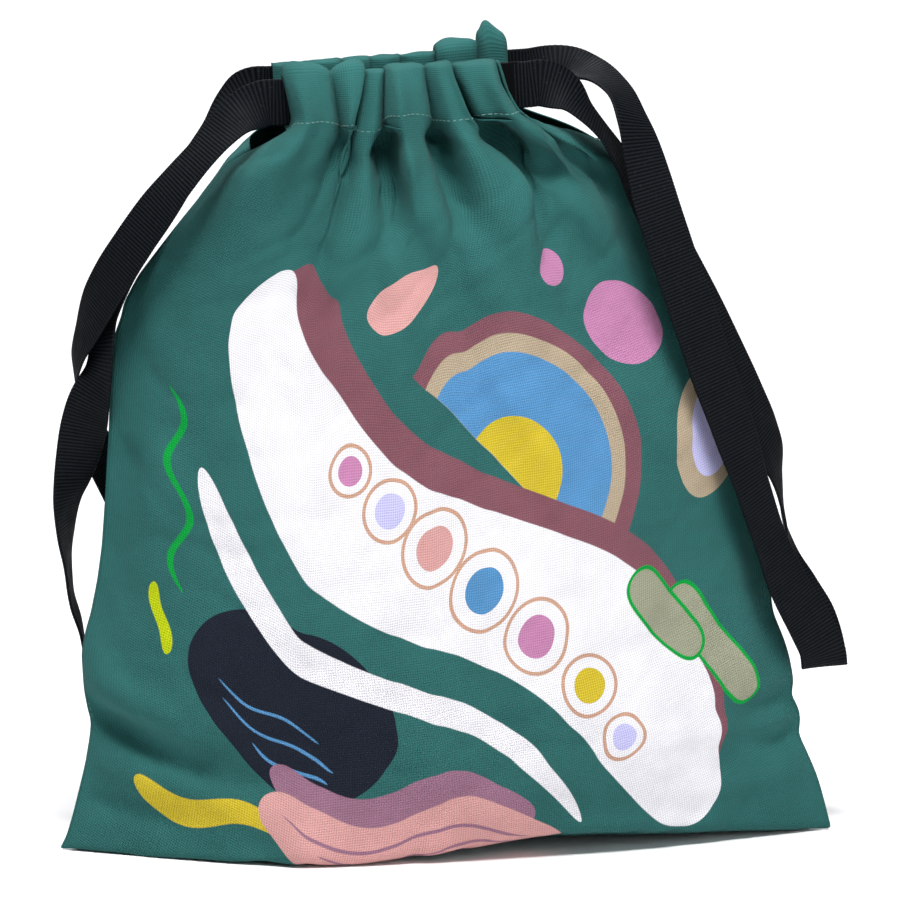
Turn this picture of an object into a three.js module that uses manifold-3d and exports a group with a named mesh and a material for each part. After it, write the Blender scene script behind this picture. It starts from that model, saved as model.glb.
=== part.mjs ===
// Drawstring bag, stuffed and standing: two sewn cloth panels with a casing each,
// drawn shut by two loops of flat webbing.
// Millimetres. +Z up, front face towards -Y, base flat on z = 0, box centred on the origin.
import * as THREE from 'three';
import Module from 'manifold-3d';

const wasm = await Module();
wasm.setup();
const { Manifold, Mesh: ManifoldMesh, CrossSection } = wasm;

// Cloth body
const BASE_HALF = 164;          // half the width at the bottom corners
const BODY_H = 341;             // top of the gathered casings above the floor
const BODY_DEPTH = 60;          // deepest point of each panel from the seam plane
const CLOTH = 1.2;              // modelled thickness of the cloth
const SEAM = 3.5;               // width of the sewn edge where the panels lie together
const FIT = 0.3;                // clearance between pieces that lie against each other

// Gathered neck
const NECK_X = -21;             // centre of the neck, left of the middle of the base
const NECK_HALF = 48;           // half the length of a gathered casing
const NECK_OVER = 10;           // the panels' loft runs this far past the casings, for the slits
const NECK_TILT = 3;            // degrees, right end higher
const CASING_H = 27;            // depth of the casing from its stitch line to the fold
const FOLD = 1.5;               // rounding of the casing's top fold
const NECK_Z = BODY_H - FOLD - CASING_H / 2;  // middle height of the webbing in the casings
const SCALLOP = 3.2;            // rise and fall of the top fold over the pleats
const PLEATS = 6.5;             // pleats across each side of the neck
const PLEAT_DEPTH = 4.5;

// Webbing
const WEB_W = 20;
const WEB_T = 1.3;
const LANE_GAP = 0.4;           // between the two webbings that share a casing
const WALL_GAP = 0.5;           // between a webbing and the casing wall
const LANE_Y = 19;              // middle of the pair of lanes from the seam plane
const PIVOT_OUT = 11.5;         // hinge axis of a loop, outside the casing mouth
const END_GAP = 0.3;            // between the round end of a loop and the end of its strand
const SEWN_END = 3;             // from the far slit to the sewn end of a strand

// Sewing thread
const THREAD = 1.0;             // width of a row of lockstitch or overlock
const STITCH_T = 0.5;           // how far a stitch row stands off the cloth
const TACK_HALF = 1.2;          // half the width of a bar tack

// Where the slit below each mouth ends, as [along the neck, height] from the neck's middle
const SLIT = { left: [61, -24], right: [84, -26] };

const SIDE_COLS = 40;           // facets across each panel
const tilt = THREE.MathUtils.degToRad(NECK_TILT);
const clamp = (v, a, b) => Math.min(b, Math.max(a, v));
const smooth = (a, b, v) => {
  const t = clamp((v - a) / (b - a), 0, 1);
  return t * t * (3 - 2 * t);
};

// Lane walls and the outside of the casings, from the seam plane
const LANE_HALF = LANE_GAP / 2 + WEB_T + WALL_GAP;
const LANE_IN = LANE_Y - LANE_HALF;
const CASING_FACE = LANE_Y + LANE_HALF + CLOTH + PLEAT_DEPTH;
const CASING_LOW = NECK_Z - CASING_H / 2;

// Body below the casings: share of the casing's height, left and right edge as shares of the
// base, share of the depth, and the roundness m and p of the section
const BODY = [
  [0, -1, 1, 0.907, 2, 1.25],
  [0.0096, -0.994, 0.996, 0.972, 2, 1.2],
  [0.0288, -0.982, 0.991, 1, 2, 1.1],
  [0.0768, -0.957, 0.979, 1, 2, 1.0],
  [0.144, -0.933, 0.939, 0.99, 2, 0.92],
  [0.224, -0.933, 0.909, 0.981, 2, 0.88],
  [0.32, -0.921, 0.863, 0.963, 2, 0.86],
  [0.432, -0.893, 0.841, 0.935, 2, 0.85],
  [0.544, -0.875, 0.829, 0.889, 2, 0.85],
  [0.64, -0.866, 0.793, 0.833, 2, 0.85],
  [0.71, -0.857, 0.744, 0.778, 2, 0.84],
  [0.784, -0.799, 0.677, 0.713, 2.1, 0.8],
  [0.845, -0.701, 0.61, 0.648, 2.3, 0.75],
  [0.896, -0.616, 0.537, 0.593, 2.8, 0.68],
  [0.934, -0.555, 0.47, 0.546, 3.6, 0.6],
  [0.966, -0.503, 0.384, 0.509, 5, 0.55],
].map(([h, l, r, d, m, q]) => [h * CASING_LOW, l * BASE_HALF, r * BASE_HALF, d * BODY_DEPTH, m, q]);
const neckRow = (z, shrink, depth, m) => [
  z, NECK_X - NECK_HALF - NECK_OVER + shrink, NECK_X + NECK_HALF + NECK_OVER - shrink, depth, m, 0.5,
];
// Rows of both: height, left edge, right edge, depth, m, p
const PROFILE = [
  ...BODY,
  neckRow(CASING_LOW - 3.5, -4, CASING_FACE + 0.5, 7),
  neckRow(CASING_LOW + 1.5, 0, CASING_FACE, 8),
  neckRow(NECK_Z - 2, 0, CASING_FACE + 0.4, 8),
  neckRow(NECK_Z + 9, 0, CASING_FACE, 8),
  neckRow(BODY_H - FOLD, 0.4, CASING_FACE - FOLD, 8),
  neckRow(BODY_H, 1, CASING_FACE - 2 * FOLD, 8),
];

// Rounded pleats with narrow creases, 0 in a crease and 1 on a crest
function pleat(u, side) {
  const phase = side < 0 ? 0.15 : 0.6;
  return Math.pow(Math.abs(Math.cos(Math.PI * (PLEATS * (u + 1) / 2 + phase))), 0.8);
}
function pleatDepth(z) {
  const low = 0.25 * smooth(0.69 * CASING_LOW, 0.84 * CASING_LOW, z);
  return PLEAT_DEPTH * (low + 0.75 * smooth(0.82 * CASING_LOW, 0.985 * CASING_LOW, z));
}

// Raises the right side of the neck and gives the fold at the top its scallops
function lift(x, z, u, side) {
  const neck = Math.tan(tilt) * (x - NECK_X) * smooth(0.75 * CASING_LOW, 0.99 * CASING_LOW, z);
  return neck + SCALLOP * (pleat(u, side) - 0.65) * smooth(NECK_Z + 2, BODY_H, z);
}

// One point of a panel's outer face on a profile row
function facePoint([z, xl, xr, depth, m, p], u, side) {
  const x = (xl + xr) / 2 + (xr - xl) / 2 * u;
  const fade = 1 - Math.pow(Math.abs(u), 6);
  const ripple = pleatDepth(z) * (1 - pleat(u, side)) * fade;
  const shape = Math.pow(Math.max(0, 1 - Math.pow(Math.abs(u), m)), p);
  return new THREE.Vector3(x, side * Math.max(0, depth * shape - ripple), z + lift(x, z, u, side));
}

// Closed loft from rows of [x, y, z] rings
function loftRings(rings) {
  const n = rings[0].length;
  const verts = [];
  const tris = [];
  for (const ring of rings) for (const p of ring) verts.push(p[0], p[1], p[2]);
  for (let r = 0; r + 1 < rings.length; r++) {
    for (let i = 0; i < n; i++) {
      const j = (i + 1) % n;
      const a = r * n + i, b = r * n + j, c = (r + 1) * n + j, d = (r + 1) * n + i;
      tris.push(a, b, c, a, c, d);
    }
  }
  const caps = [0, rings.length - 1];
  caps.forEach((row, k) => {
    // Each ring runs front left to right, then back right to left: zip the two halves
    const half = n / 2;
    for (let i = 0; i < half; i++) {
      const a = row * n + i, b = row * n + ((i + 1) % n);
      const c = row * n + ((n - i - 1 + n) % n), d = row * n + ((n - i) % n);
      const quad = [];
      if (i === 0) quad.push([a, c, b]);
      else if (b === c) quad.push([a, d, b]);
      else quad.push([a, c, b], [a, d, c]);
      for (const t of quad) tris.push(...(k === 0 ? t : [t[0], t[2], t[1]]));
    }
  });
  return solidFrom(verts, tris);
}

function solidFrom(verts, tris) {
  const mesh = new ManifoldMesh({
    numProp: 3,
    vertProperties: new Float32Array(verts),
    triVerts: new Uint32Array(tris),
  });
  mesh.merge();
  return new Manifold(mesh);
}

// One closed ring of a body section; u runs -1..1 along the front and back along the rear
function ring(cols, at) {
  const pts = [];
  for (let i = 0; i <= cols; i++) pts.push(at(-1 + 2 * i / cols, -1));
  for (let i = 1; i < cols; i++) pts.push(at(1 - 2 * i / cols, 1));
  return pts;
}

function outerRings() {
  return PROFILE.map((row) => ring(SIDE_COLS, (u, side) => facePoint(row, u, side).toArray()));
}

// The hollow: the outer shape less the cloth, then the inner wall of the casings
function innerRings() {
  const rows = BODY.map((row) => [...row]);
  rows[0][0] = CLOTH;
  rows[0][3] += CLOTH;
  rows[1][0] = CLOTH + 2.8;
  const rings = rows.map(([z, xl, xr, depth, m, p]) => ring(SIDE_COLS, (u, side) => {
    const x = (xl + xr) / 2 + ((xr - xl) / 2 - SEAM) * u;
    const fade = 1 - Math.pow(Math.abs(u), 6);
    const ripple = pleatDepth(z) * (1 - pleat(u, side)) * fade;
    const shape = Math.pow(Math.max(0, 1 - Math.pow(Math.abs(u), m)), p);
    const y = Math.max(0, (depth - CLOTH * 1.3) * shape - ripple);
    return [x, side * y, z + lift(x, z, u, side)];
  }));
  // Under the casings the hollow is wide, then it steps in to their inner wall, which opens
  // out a little at the top fold
  const wide = CASING_FACE - CLOTH * 1.3 - PLEAT_DEPTH;
  const wall = LANE_IN - CLOTH;
  const bulge = PLEAT_DEPTH * 0.8;
  const neck = [
    [CASING_LOW - 3, wide, 0], [CASING_LOW, wall, bulge], [NECK_Z, wall, bulge],
    [BODY_H - FOLD - 2.5, wall, bulge], [BODY_H + 8, wall + 2 * CLOTH, bulge],
  ];
  for (const [z, y, depth] of neck) {
    rings.push(ring(SIDE_COLS, (u, side) => {
      const x = NECK_X + (NECK_HALF + NECK_OVER * 0.6) * u;
      const shape = Math.pow(1 - Math.pow(Math.abs(u), 12), 0.5);
      return [x, side * (y - depth * pleat(u, side)) * shape, z + Math.tan(tilt) * (x - NECK_X)];
    }));
  }
  return rings;
}

// Box in the neck frame: s along the casings, y across, h up from the webbing's middle
function neckBox(s0, s1, y0, y1, h0, h1) {
  return Manifold.cube([s1 - s0, y1 - y0, h1 - h0])
    .translate([s0, y0, h0])
    .rotate([0, -NECK_TILT, 0])
    .translate([NECK_X, 0, NECK_Z]);
}
function neckPoint(s, y, h) {
  return new THREE.Vector3(
    NECK_X + s * Math.cos(tilt) - h * Math.sin(tilt), y,
    NECK_Z + s * Math.sin(tilt) + h * Math.cos(tilt),
  );
}

// Cut that ends the casings at the mouths and opens the slit below each mouth
function slitCut(side, endS, endH) {
  const far = 130;
  const pts = [
    [side * NECK_HALF, 60], [side * NECK_HALF, -CASING_H / 2],
    [side * endS, endH], [side * far, endH], [side * far, 60],
  ];
  if (side < 0) pts.reverse();
  return new CrossSection([pts]).extrude(200).translate([0, 0, -100]).rotate([90, 0, 0])
    .rotate([0, -NECK_TILT, 0])
    .translate([NECK_X, 0, NECK_Z]);
}

function slot(side) {
  const y0 = side * LANE_Y - LANE_HALF;
  const half = WEB_W / 2 + 2 * WALL_GAP;
  return neckBox(-NECK_HALF - 5, NECK_HALF + 5, y0, y0 + 2 * LANE_HALF, -half, half);
}

function makePanels() {
  let shell = loftRings(outerRings());
  const hollow = loftRings(innerRings());
  shell = shell.subtract(hollow);
  shell = shell.subtract(slitCut(-1, ...SLIT.left)).subtract(slitCut(1, ...SLIT.right));
  shell = shell.subtract(slot(-1)).subtract(slot(1));
  const big = 400;
  const front = Manifold.cube([2 * big, big, 2 * big]).translate([-big, -big - FIT / 2, -big / 2]);
  const back = Manifold.cube([2 * big, big, 2 * big]).translate([-big, FIT / 2, -big / 2]);
  return [shell.intersect(front), shell.intersect(back)];
}

// Largest body of a solid, without the crumbs that a cut can leave
function mainBody(solid) {
  const bodies = solid.decompose();
  bodies.sort((a, b) => b.volume() - a.volume());
  return bodies[0];
}

function toMesh(name, solid, colour, roughness) {
  const m = solid.getMesh();
  const geometry = new THREE.BufferGeometry();
  const pos = new Float32Array(m.numVert * 3);
  for (let i = 0; i < m.numVert; i++) {
    for (let k = 0; k < 3; k++) pos[3 * i + k] = m.vertProperties[i * m.numProp + k];
  }
  geometry.setAttribute('position', new THREE.BufferAttribute(pos, 3));
  geometry.setIndex(new THREE.BufferAttribute(new Uint32Array(m.triVerts), 1));
  geometry.computeVertexNormals();
  const mesh = new THREE.Mesh(geometry, new THREE.MeshStandardMaterial({ color: colour, roughness }));
  mesh.name = name;
  return mesh;
}

// Sweep of a rectangle through stations {p, wide, thick} with half sizes a and b
function sweep(stations, a, b) {
  const verts = [];
  const tris = [];
  for (const { p, wide, thick, scale = 1 } of stations) {
    for (const [i, j] of [[-1, -1], [1, -1], [1, 1], [-1, 1]]) {
      const v = p.clone().addScaledVector(wide, i * a * scale).addScaledVector(thick, j * b);
      verts.push(v.x, v.y, v.z);
    }
  }
  const n = stations.length;
  for (let r = 0; r + 1 < n; r++) {
    for (let i = 0; i < 4; i++) {
      const j = (i + 1) % 4;
      tris.push(4 * r + i, 4 * r + j, 4 * r + 4 + j, 4 * r + i, 4 * r + 4 + j, 4 * r + 4 + i);
    }
  }
  const e = 4 * (n - 1);
  tris.push(0, 3, 2, 0, 2, 1, e, e + 1, e + 2, e, e + 2, e + 3);
  let solid = solidFrom(verts, tris);
  if (solid.volume() < 0) {
    for (let t = 0; t < tris.length; t += 3) [tris[t + 1], tris[t + 2]] = [tris[t + 2], tris[t + 1]];
    solid = solidFrom(verts, tris);
  }
  return solid;
}

// Hand-chosen routes of the hanging loops, from the front mouth round to the back mouth.
// Each point: x, y, z of the middle of the webbing and its lean in degrees:
// 0 shows the flat face to the front, 90 shows the edge.
const LEFT_ROUTE = [
  [-91, -22, 318.5, 44], [-100, -24, 310.5, 60], [-109, -25, 301, 61], [-118, -25, 290.5, 55],
  [-127, -23, 278.5, 46], [-135.5, -20, 265, 40], [-143, -16, 252.5, 40], [-149, -10, 240, 47],
  [-153, -4, 229, 61], [-156.5, 5, 217, 80], [-157.5, 14, 207, 91], [-156, 20.5, 198, 97],
  [-153.5, 26, 187, 106], [-149, 30.5, 175, 126], [-143.5, 33.5, 163, 142], [-137, 36, 150, 144],
  [-131, 38, 135, 134], [-128, 40, 117, 114], [-128, 42, 95, 98], [-130, 44, 72, 91],
  [-134, 44.5, 55, 90], [-140, 43, 48, 90], [-146, 40.5, 52, 90], [-149.5, 36, 63, 88],
  [-152, 29, 77, 85], [-155, 22, 93, 82], [-159, 17, 106, 80], [-161, 13, 122, 78],
  [-162, 10, 138, 62], [-161.5, 8, 150, 50], [-159.5, 6, 160, 32], [-157, 4, 172, 12],
  [-155, 0.5, 184, -12], [-153, -4, 195, -34], [-149.5, -6, 207, -64], [-148, -5, 218, -68],
  [-146.5, -1, 231, -62], [-142, 0, 245, -52], [-134.5, 2, 258, -50], [-125, 6, 270, -54],
  [-114.5, 12, 283, -62], [-106, 16, 295.5, -72], [-98, 18.5, 308.5, -82], [-91, 20, 317, -66],
];
const RIGHT_ROUTE = [
  [49, -18.5, 325, -42], [56.5, -19, 317, -68], [64.5, -19, 307.5, -74], [72, -18.5, 296, -66],
  [82, -17, 279, -46], [95, -16, 255, -24], [108, -16.5, 229, -17], [120, -15.5, 204, -17],
  [131, -10.5, 182, -26], [139, -5.5, 167, -50], [143, -1.5, 152, -75], [146, 2, 134, -87],
  [148.5, 3.5, 119, -62], [153, 3.5, 105, -28], [159, 2.5, 92, -6], [162, 0.5, 81, 0],
  [162.5, -4.5, 73, 0], [161, -10, 80, 4], [154, -13, 94, 14], [145, -16, 110, 28],
  [136, -19.5, 132, 40], [128, -23.5, 155, 37], [119, -26.5, 181, 18], [109, -29.5, 208, 8],
  [100, -32.5, 234, 8], [91, -34, 260, 8], [84, -34, 282, 12], [80, -31.5, 298, 26],
  [77, -26, 311, 42], [73, -15, 322.5, 58], [66.5, -3, 329, 66], [58, 9, 331.5, 60],
  [50, 17, 331, 34],
];

// A loop: round ends on the hinge axis, and the webbing between them
function loopStations(side, route, laneY) {
  const pivotS = side * (NECK_HALF + PIVOT_OUT);
  const frontPivot = neckPoint(pivotS, -laneY, 0);
  const backPivot = neckPoint(pivotS, laneY, 0);
  const pts = [frontPivot, ...route.map((r) => new THREE.Vector3(r[0], r[1], r[2])), backPivot];
  const lean = [0, ...route.map((r) => r[3]), 0];
  const curve = new THREE.CatmullRomCurve3(pts, false, 'centripetal');
  const steps = 3 * (pts.length - 1);
  const stations = [];
  let last = null;
  for (let i = 0; i <= steps; i++) {
    const t = i / steps;
    const p = curve.getPoint(t);
    const tangent = curve.getTangent(t);
    if (i === 0 || i === steps) tangent.setY(0).normalize();
    const wide = new THREE.Vector3().crossVectors(tangent, new THREE.Vector3(0, 1, 0));
    if (wide.length() < 0.35 && last) wide.copy(last);
    wide.normalize();
    if (last && wide.dot(last) < 0) wide.negate();
    last = wide.clone();
    const k = t * (pts.length - 1);
    const a = Math.floor(Math.min(k, pts.length - 1.001));
    const f = smooth(0, 1, k - a);
    const ang = THREE.MathUtils.degToRad(lean[a] * (1 - f) + lean[a + 1] * f);
    wide.applyAxisAngle(tangent, ang);
    const thick = new THREE.Vector3().crossVectors(tangent, wide).normalize();
    stations.push({ p, wide, thick, tangent });
  }
  return stations;
}
function roundEnd(station, outward) {
  // Half disc round the hinge axis, joined to the start of the webbing
  const list = [];
  const n = 8;
  for (let i = 0; i < n; i++) {
    const a = (Math.PI / 2) * (1 - i / n);
    list.push({
      p: station.p.clone().addScaledVector(outward, (WEB_W / 2) * Math.sin(a)),
      wide: station.wide, thick: station.thick, scale: Math.max(0.06, Math.cos(a)),
    });
  }
  return list;
}
function makeLoop(side, route, laneY) {
  const st = loopStations(side, route, laneY);
  const head = roundEnd(st[0], st[0].tangent.clone().negate());
  const tail = roundEnd(st[st.length - 1], st[st.length - 1].tangent.clone()).reverse();
  return sweep([...head, ...st, ...tail], WEB_W / 2, WEB_T / 2);
}

// A strand: the stretch of a loop that runs through a casing, from the far slit to the mouth
function makeStrand(side, laneY) {
  const out = NECK_HALF + PIVOT_OUT - WEB_W / 2 - END_GAP;
  const far = NECK_HALF - SEWN_END;
  const s0 = side < 0 ? -out : -far;
  const s1 = side < 0 ? far : out;
  return neckBox(s0, s1, laneY - WEB_T / 2, laneY + WEB_T / 2, -WEB_W / 2, WEB_W / 2);
}

// Stitch row along the lower edge of a casing, on the outside of the pleats
function casingThread(side) {
  const height = NECK_Z - CASING_H / 2 + THREAD;
  const upper = PROFILE.findIndex(([z]) => z > height);
  const a = PROFILE[upper - 1], b = PROFILE[upper];
  const t = (height - a[0]) / (b[0] - a[0]);
  const stations = [];
  for (let i = 0; i <= SIDE_COLS; i++) {
    const u = -1 + 2 * i / SIDE_COLS;
    const p = facePoint(a, u, side).lerp(facePoint(b, u, side), t);
    if (Math.abs(p.x - NECK_X) > NECK_HALF - THREAD) continue;
    p.y += side * (2 * FIT + STITCH_T);
    stations.push({ p, wide: new THREE.Vector3(0, 0, 1), thick: new THREE.Vector3(0, side, 0) });
  }
  return sweep(stations, THREAD / 2, STITCH_T / 2);
}

// Overlock along the inside of a side seam
function sideThread(side) {
  const stations = [];
  for (const [z, xl, xr] of BODY.slice(2, -1)) {
    const edge = side < 0 ? xl + SEAM : xr - SEAM;
    const inset = 2.1 - 1.1 * smooth(0.2 * CASING_LOW, 0.8 * CASING_LOW, z);
    const x = edge - side * inset;
    stations.push({
      p: new THREE.Vector3(x, 0, z + lift(x, z, side, side)),
      wide: new THREE.Vector3(1, 0, 0), thick: new THREE.Vector3(0, 1, 0),
    });
  }
  return sweep(stations, THREAD / 2, STITCH_T / 2);
}

// Overlock along the inside of the bottom seam, on the cloth that lies on the floor
function bottomThread() {
  const half = BASE_HALF - 24;
  return Manifold.cube([2 * half, THREAD, STITCH_T])
    .translate([-half, -THREAD / 2, CLOTH + FIT]);
}

// Bar of thread across the seam where a side slit ends
function slitTack(side) {
  const [s, h] = side < 0 ? SLIT.left : SLIT.right;
  const rise = (-CASING_H / 2 - h) / (s - NECK_HALF) * TACK_HALF;
  const base = h + rise + FIT;
  return neckBox(side * s - TACK_HALF, side * s + TACK_HALF, -3, 3, base, base + STITCH_T);
}

const group = new THREE.Group();
group.name = 'drawstring_bag';

const [front, back] = makePanels();
const cloth = 0x3c6e64;
const black = 0x101216;
const mint = 0xa9cfc0;
group.add(toMesh('front_panel', mainBody(front), cloth, 0.85));
group.add(toMesh('back_panel', mainBody(back), cloth, 0.85));

const outerLane = LANE_Y + LANE_GAP / 2 + WEB_T / 2;
const innerLane = LANE_Y - LANE_GAP / 2 - WEB_T / 2;
group.add(toMesh('left_front_strand', makeStrand(-1, -outerLane), black, 0.7));
group.add(toMesh('left_back_strand', makeStrand(-1, outerLane), black, 0.7));
group.add(toMesh('right_front_strand', makeStrand(1, -innerLane), black, 0.7));
group.add(toMesh('right_back_strand', makeStrand(1, innerLane), black, 0.7));
group.add(toMesh('left_loop', makeLoop(-1, LEFT_ROUTE, outerLane), black, 0.7));
group.add(toMesh('right_loop', makeLoop(1, RIGHT_ROUTE, innerLane), black, 0.7));
group.add(toMesh('front_casing_thread', casingThread(-1), mint, 0.8));
group.add(toMesh('back_casing_thread', casingThread(1), mint, 0.8));
group.add(toMesh('left_seam_thread', sideThread(-1), mint, 0.8));
group.add(toMesh('right_seam_thread', sideThread(1), mint, 0.8));
group.add(toMesh('bottom_seam_thread', bottomThread(), mint, 0.8));
group.add(toMesh('left_slit_tack', slitTack(-1), mint, 0.8));
group.add(toMesh('right_slit_tack', slitTack(1), mint, 0.8));

export default group;
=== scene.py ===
import math

import bpy
import numpy as np
from bpy.props import FloatProperty, FloatVectorProperty, IntProperty
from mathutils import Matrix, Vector, noise
from mathutils.kdtree import KDTree


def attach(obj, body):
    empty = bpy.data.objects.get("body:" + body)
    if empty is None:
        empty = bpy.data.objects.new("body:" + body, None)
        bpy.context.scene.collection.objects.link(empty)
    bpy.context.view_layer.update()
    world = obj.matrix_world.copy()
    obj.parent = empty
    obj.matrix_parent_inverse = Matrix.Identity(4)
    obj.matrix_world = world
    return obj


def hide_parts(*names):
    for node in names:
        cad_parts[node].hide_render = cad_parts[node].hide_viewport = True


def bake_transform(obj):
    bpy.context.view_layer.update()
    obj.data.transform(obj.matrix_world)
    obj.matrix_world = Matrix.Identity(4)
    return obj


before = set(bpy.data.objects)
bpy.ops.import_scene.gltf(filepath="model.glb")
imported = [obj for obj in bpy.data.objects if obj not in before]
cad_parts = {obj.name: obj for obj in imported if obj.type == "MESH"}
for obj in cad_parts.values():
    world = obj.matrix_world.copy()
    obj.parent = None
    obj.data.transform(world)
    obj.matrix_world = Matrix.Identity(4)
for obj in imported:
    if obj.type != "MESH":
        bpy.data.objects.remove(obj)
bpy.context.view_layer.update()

bl_info = {
    "name": "Drawstring bag",
    "version": (1, 0, 0),
    "blender": (4, 5, 0),
    "location": "3D View > Sidebar > Drawstring bag",
    "description": "Builds a stuffed drawstring bag of printed cloth with webbing loops",
    "category": "Add Mesh",
}

MM = 0.001

# The neck, as in the part: middle, half length, tilt and the lanes of the webbing
NECK_X, NECK_Z, NECK_HALF = -0.021, 0.326, 0.048
NECK_TILT = math.radians(3.0)
# Where the front and the back casing's top ends at the right
FRONT_END, BACK_END = 0.038, 0.0495
OUTER_LANE, INNER_LANE = 0.01985, 0.01815
# Where a hinge crosses the webbing, outside the mouth
PIVOT_OUT = 0.0115
# How far the casing's cloth stands from the seam plane, laid out and at the least
CASING_OUT, CASING_CLEAR = 0.0213, 0.0212
# Least height of the casing's outer layer at the top fold, above the webbing's middle
TOP_CLEAR = 0.0102
# Height where the casings begin, and where the gathers have faded out below them
CASING_LOW, GATHER_LOW = 0.3125, 0.235
# Half the length of the bottom seam
HALF_BASE = 0.167
# Heights of a column of cloth: its foot under the bag, the body, where the grain turns to
# follow the creases, how far the floor's roundness reaches up, where the neck starts to narrow
FOOT_HEIGHT, BODY_SPAN, GRAIN_TURN = 0.0006, (0.002, 0.3085), (0.225, 0.243)
FLOOR_EASE, NECK_START = 0.050, 0.262
# Heights where the left and the right side slit begin
SLIT_LOW = (0.292, 0.290)
# Rows below the stitching where the side slits end
LEFT_SLIT, RIGHT_SLIT = 6, 12
# Share of the back's width where its rolled end begins
ROLL_START = 0.64

# Silhouette of the body in the seam plane, in mm: height, x
LEFT_EDGE = [
    (0, -167), (3, -165), (9, -162.8), (17, -160.6), (25, -158.6), (38, -155.6), (50, -153.8),
    (57, -153.2), (61, -154.6), (70, -156.2), (86, -157), (95, -155.2), (103, -152.8),
    (117, -150), (132, -148), (155, -146.4), (178, -145), (205, -144), (222, -142.4),
    (236, -138.5), (248, -132), (271, -113.5), (295, -93.5), (303, -84), (312.5, -69.5),
]
RIGHT_EDGE = [
    (0, 167), (3, 166), (8, 164.8), (17, 162.6), (25, 160.2), (34, 156.4), (41, 153.2),
    (44, 152.2), (48, 153.4), (54, 152.4), (60, 149.2), (66, 150.2), (76, 148.4), (84, 146),
    (96, 141), (112, 139.2), (136, 138.4), (160, 137.8), (179, 136), (200, 130.5),
    (218, 123.4), (248, 108.5), (275, 90.5), (292, 77), (300, 70), (308, 52), (314.5, 27.5),
]
# Depth of the body: height in mm, depth in mm, roundness m and p of the section
DEPTH = [
    (0, 54.4, 2, 1.25), (3, 58.3, 2, 1.2), (9, 60, 2, 1.1), (24, 60, 2, 1.0),
    (45, 59.4, 2, 0.92), (70, 58.9, 2, 0.88), (100, 57.8, 2, 0.86), (135, 56.1, 2, 0.85),
    (170, 53.3, 2, 0.85), (200, 50, 2, 0.85), (222, 46.7, 2, 0.84), (245, 42.8, 2.1, 0.8),
    (264, 38.9, 2.3, 0.75), (280, 35.6, 2.8, 0.68), (292, 32.8, 3.6, 0.6), (302, 30.5, 5, 0.55),
    (312.5, 27.2, 8, 0.5),
]
# Where the cloth leaves the floor along the base, in mm: x, how far out, how high
FRONT_BASE = [
    (-167, 0, 0), (-130, 22, 0), (-105, 37, 0), (-71, 54, 0), (-40, 52, 0.9), (-11, 50, 3.5),
    (1, 48, 6.2), (20, 47, 8.5), (35, 46, 9.9), (60, 42, 9.5), (80, 36, 8.8), (120, 20, 4.8),
    (150, 7, 1), (167, 0, 0),
]
BACK_BASE = [(-167, 0, 0), (-100, 34, 3), (-40, 52, 0), (40, 52, 0), (100, 34, 3), (167, 0, 0)]

# Lines of the creases between the gathered lobes, each from the casing's top down to where it
# fades, in mm: x, z. Beside them, the panel's own edges are the first and the last line
FRONT_CREASES = [
    [(-52.5, 344), (-52.5, 338), (-50.5, 326), (-49, 315), (-47.5, 306), (-51, 296), (-60, 279)],
    [(-36.5, 344), (-37.5, 336), (-40, 325), (-43, 314), (-44.5, 305), (-47, 292), (-56, 268)],
    [(-29, 344), (-29.5, 336), (-30.5, 309), (-29, 290), (-30, 272)],
    [(-12.5, 344), (-12, 332), (-9.5, 317), (-7.5, 307), (-4.5, 295), (-1, 274)],
    [(-1.5, 344), (-0.5, 335), (6, 318), (12, 311), (25, 303), (36, 286)],
    [(16, 346), (20, 330), (27, 318), (44, 308), (64, 291)],
]
# Share of the cloth's width at each crease
FRONT_SHARES = [0, 0.19, 0.275, 0.345, 0.51, 0.66, 0.91, 1]
# How far each lobe stands out in mm: in the casing, below it at z 301, at 281 and at 260
FRONT_LOBES = [(12, 16, 11, 5), (12, 8, 4, 1.5), (9, 11, 7, 3), (15, 17, 12, 6), (13, 16, 11, 5.5),
               (14, 12, 8, 4), (6, 5, 3, 1.5)]
# Height of each lobe's top above the creases beside it, in mm
FRONT_TOPS = [6.5, 5.5, 0.2, 2.0, 1.6, 0.8, 0.3]
# Height of the stitching on each lobe's crest, from the webbing's middle
FRONT_STITCH = [-7, -10, -13.5, -6, -10.5, -9, -9]
# The same in the creases between the lobes, in mm
CREASE_STITCH = -12.2
# How far each lobe's crest leans to the right, as a share of its width
FRONT_LEANS = [-0.22, 0.26, 0.05, -0.16, 0.24, 0.22, 0.0]
BACK_CREASES = [
    [(-57, 344), (-57, 300)], [(-43, 344), (-43, 300)], [(-31, 344), (-30, 300)],
    [(-18, 344), (-17, 300)], [(-3, 344), (-2, 300)], [(15, 350), (15, 326), (16, 300)],
]
BACK_SHARES = [0, 0.14, 0.28, 0.40, 0.53, 0.66, 0.82, 1]
BACK_LOBES = [(8, 9, 6, 3), (9, 9, 5, 2), (8, 8, 5, 3), (9, 10, 6, 3), (8, 8, 5, 2),
              (13, 10, 6, 3), (12, 8, 5, 2)]
# Outline of the back's top: share of the width, height in mm
BACK_TOPS = [(0, 0), (0.1, 0), (0.55, 0.3), (0.67, 0.8), (0.72, 4.0), (0.79, 5.0), (0.83, 5.0),
             (0.87, 9.5), (0.92, 11.5), (0.97, 8), (1, 3.5)]
BACK_LEANS = [-0.1, 0.15, -0.15, 0.1, 0.15, -0.30, -0.20]
BACK_STITCH = [-10, -9, -11, -9, -10, -8, -10]
# Heights in mm for which the lobes have values, from where they fade out to the casing
LOBE_LEVELS = (235, 260, 281, 301, 311, 318)

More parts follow.
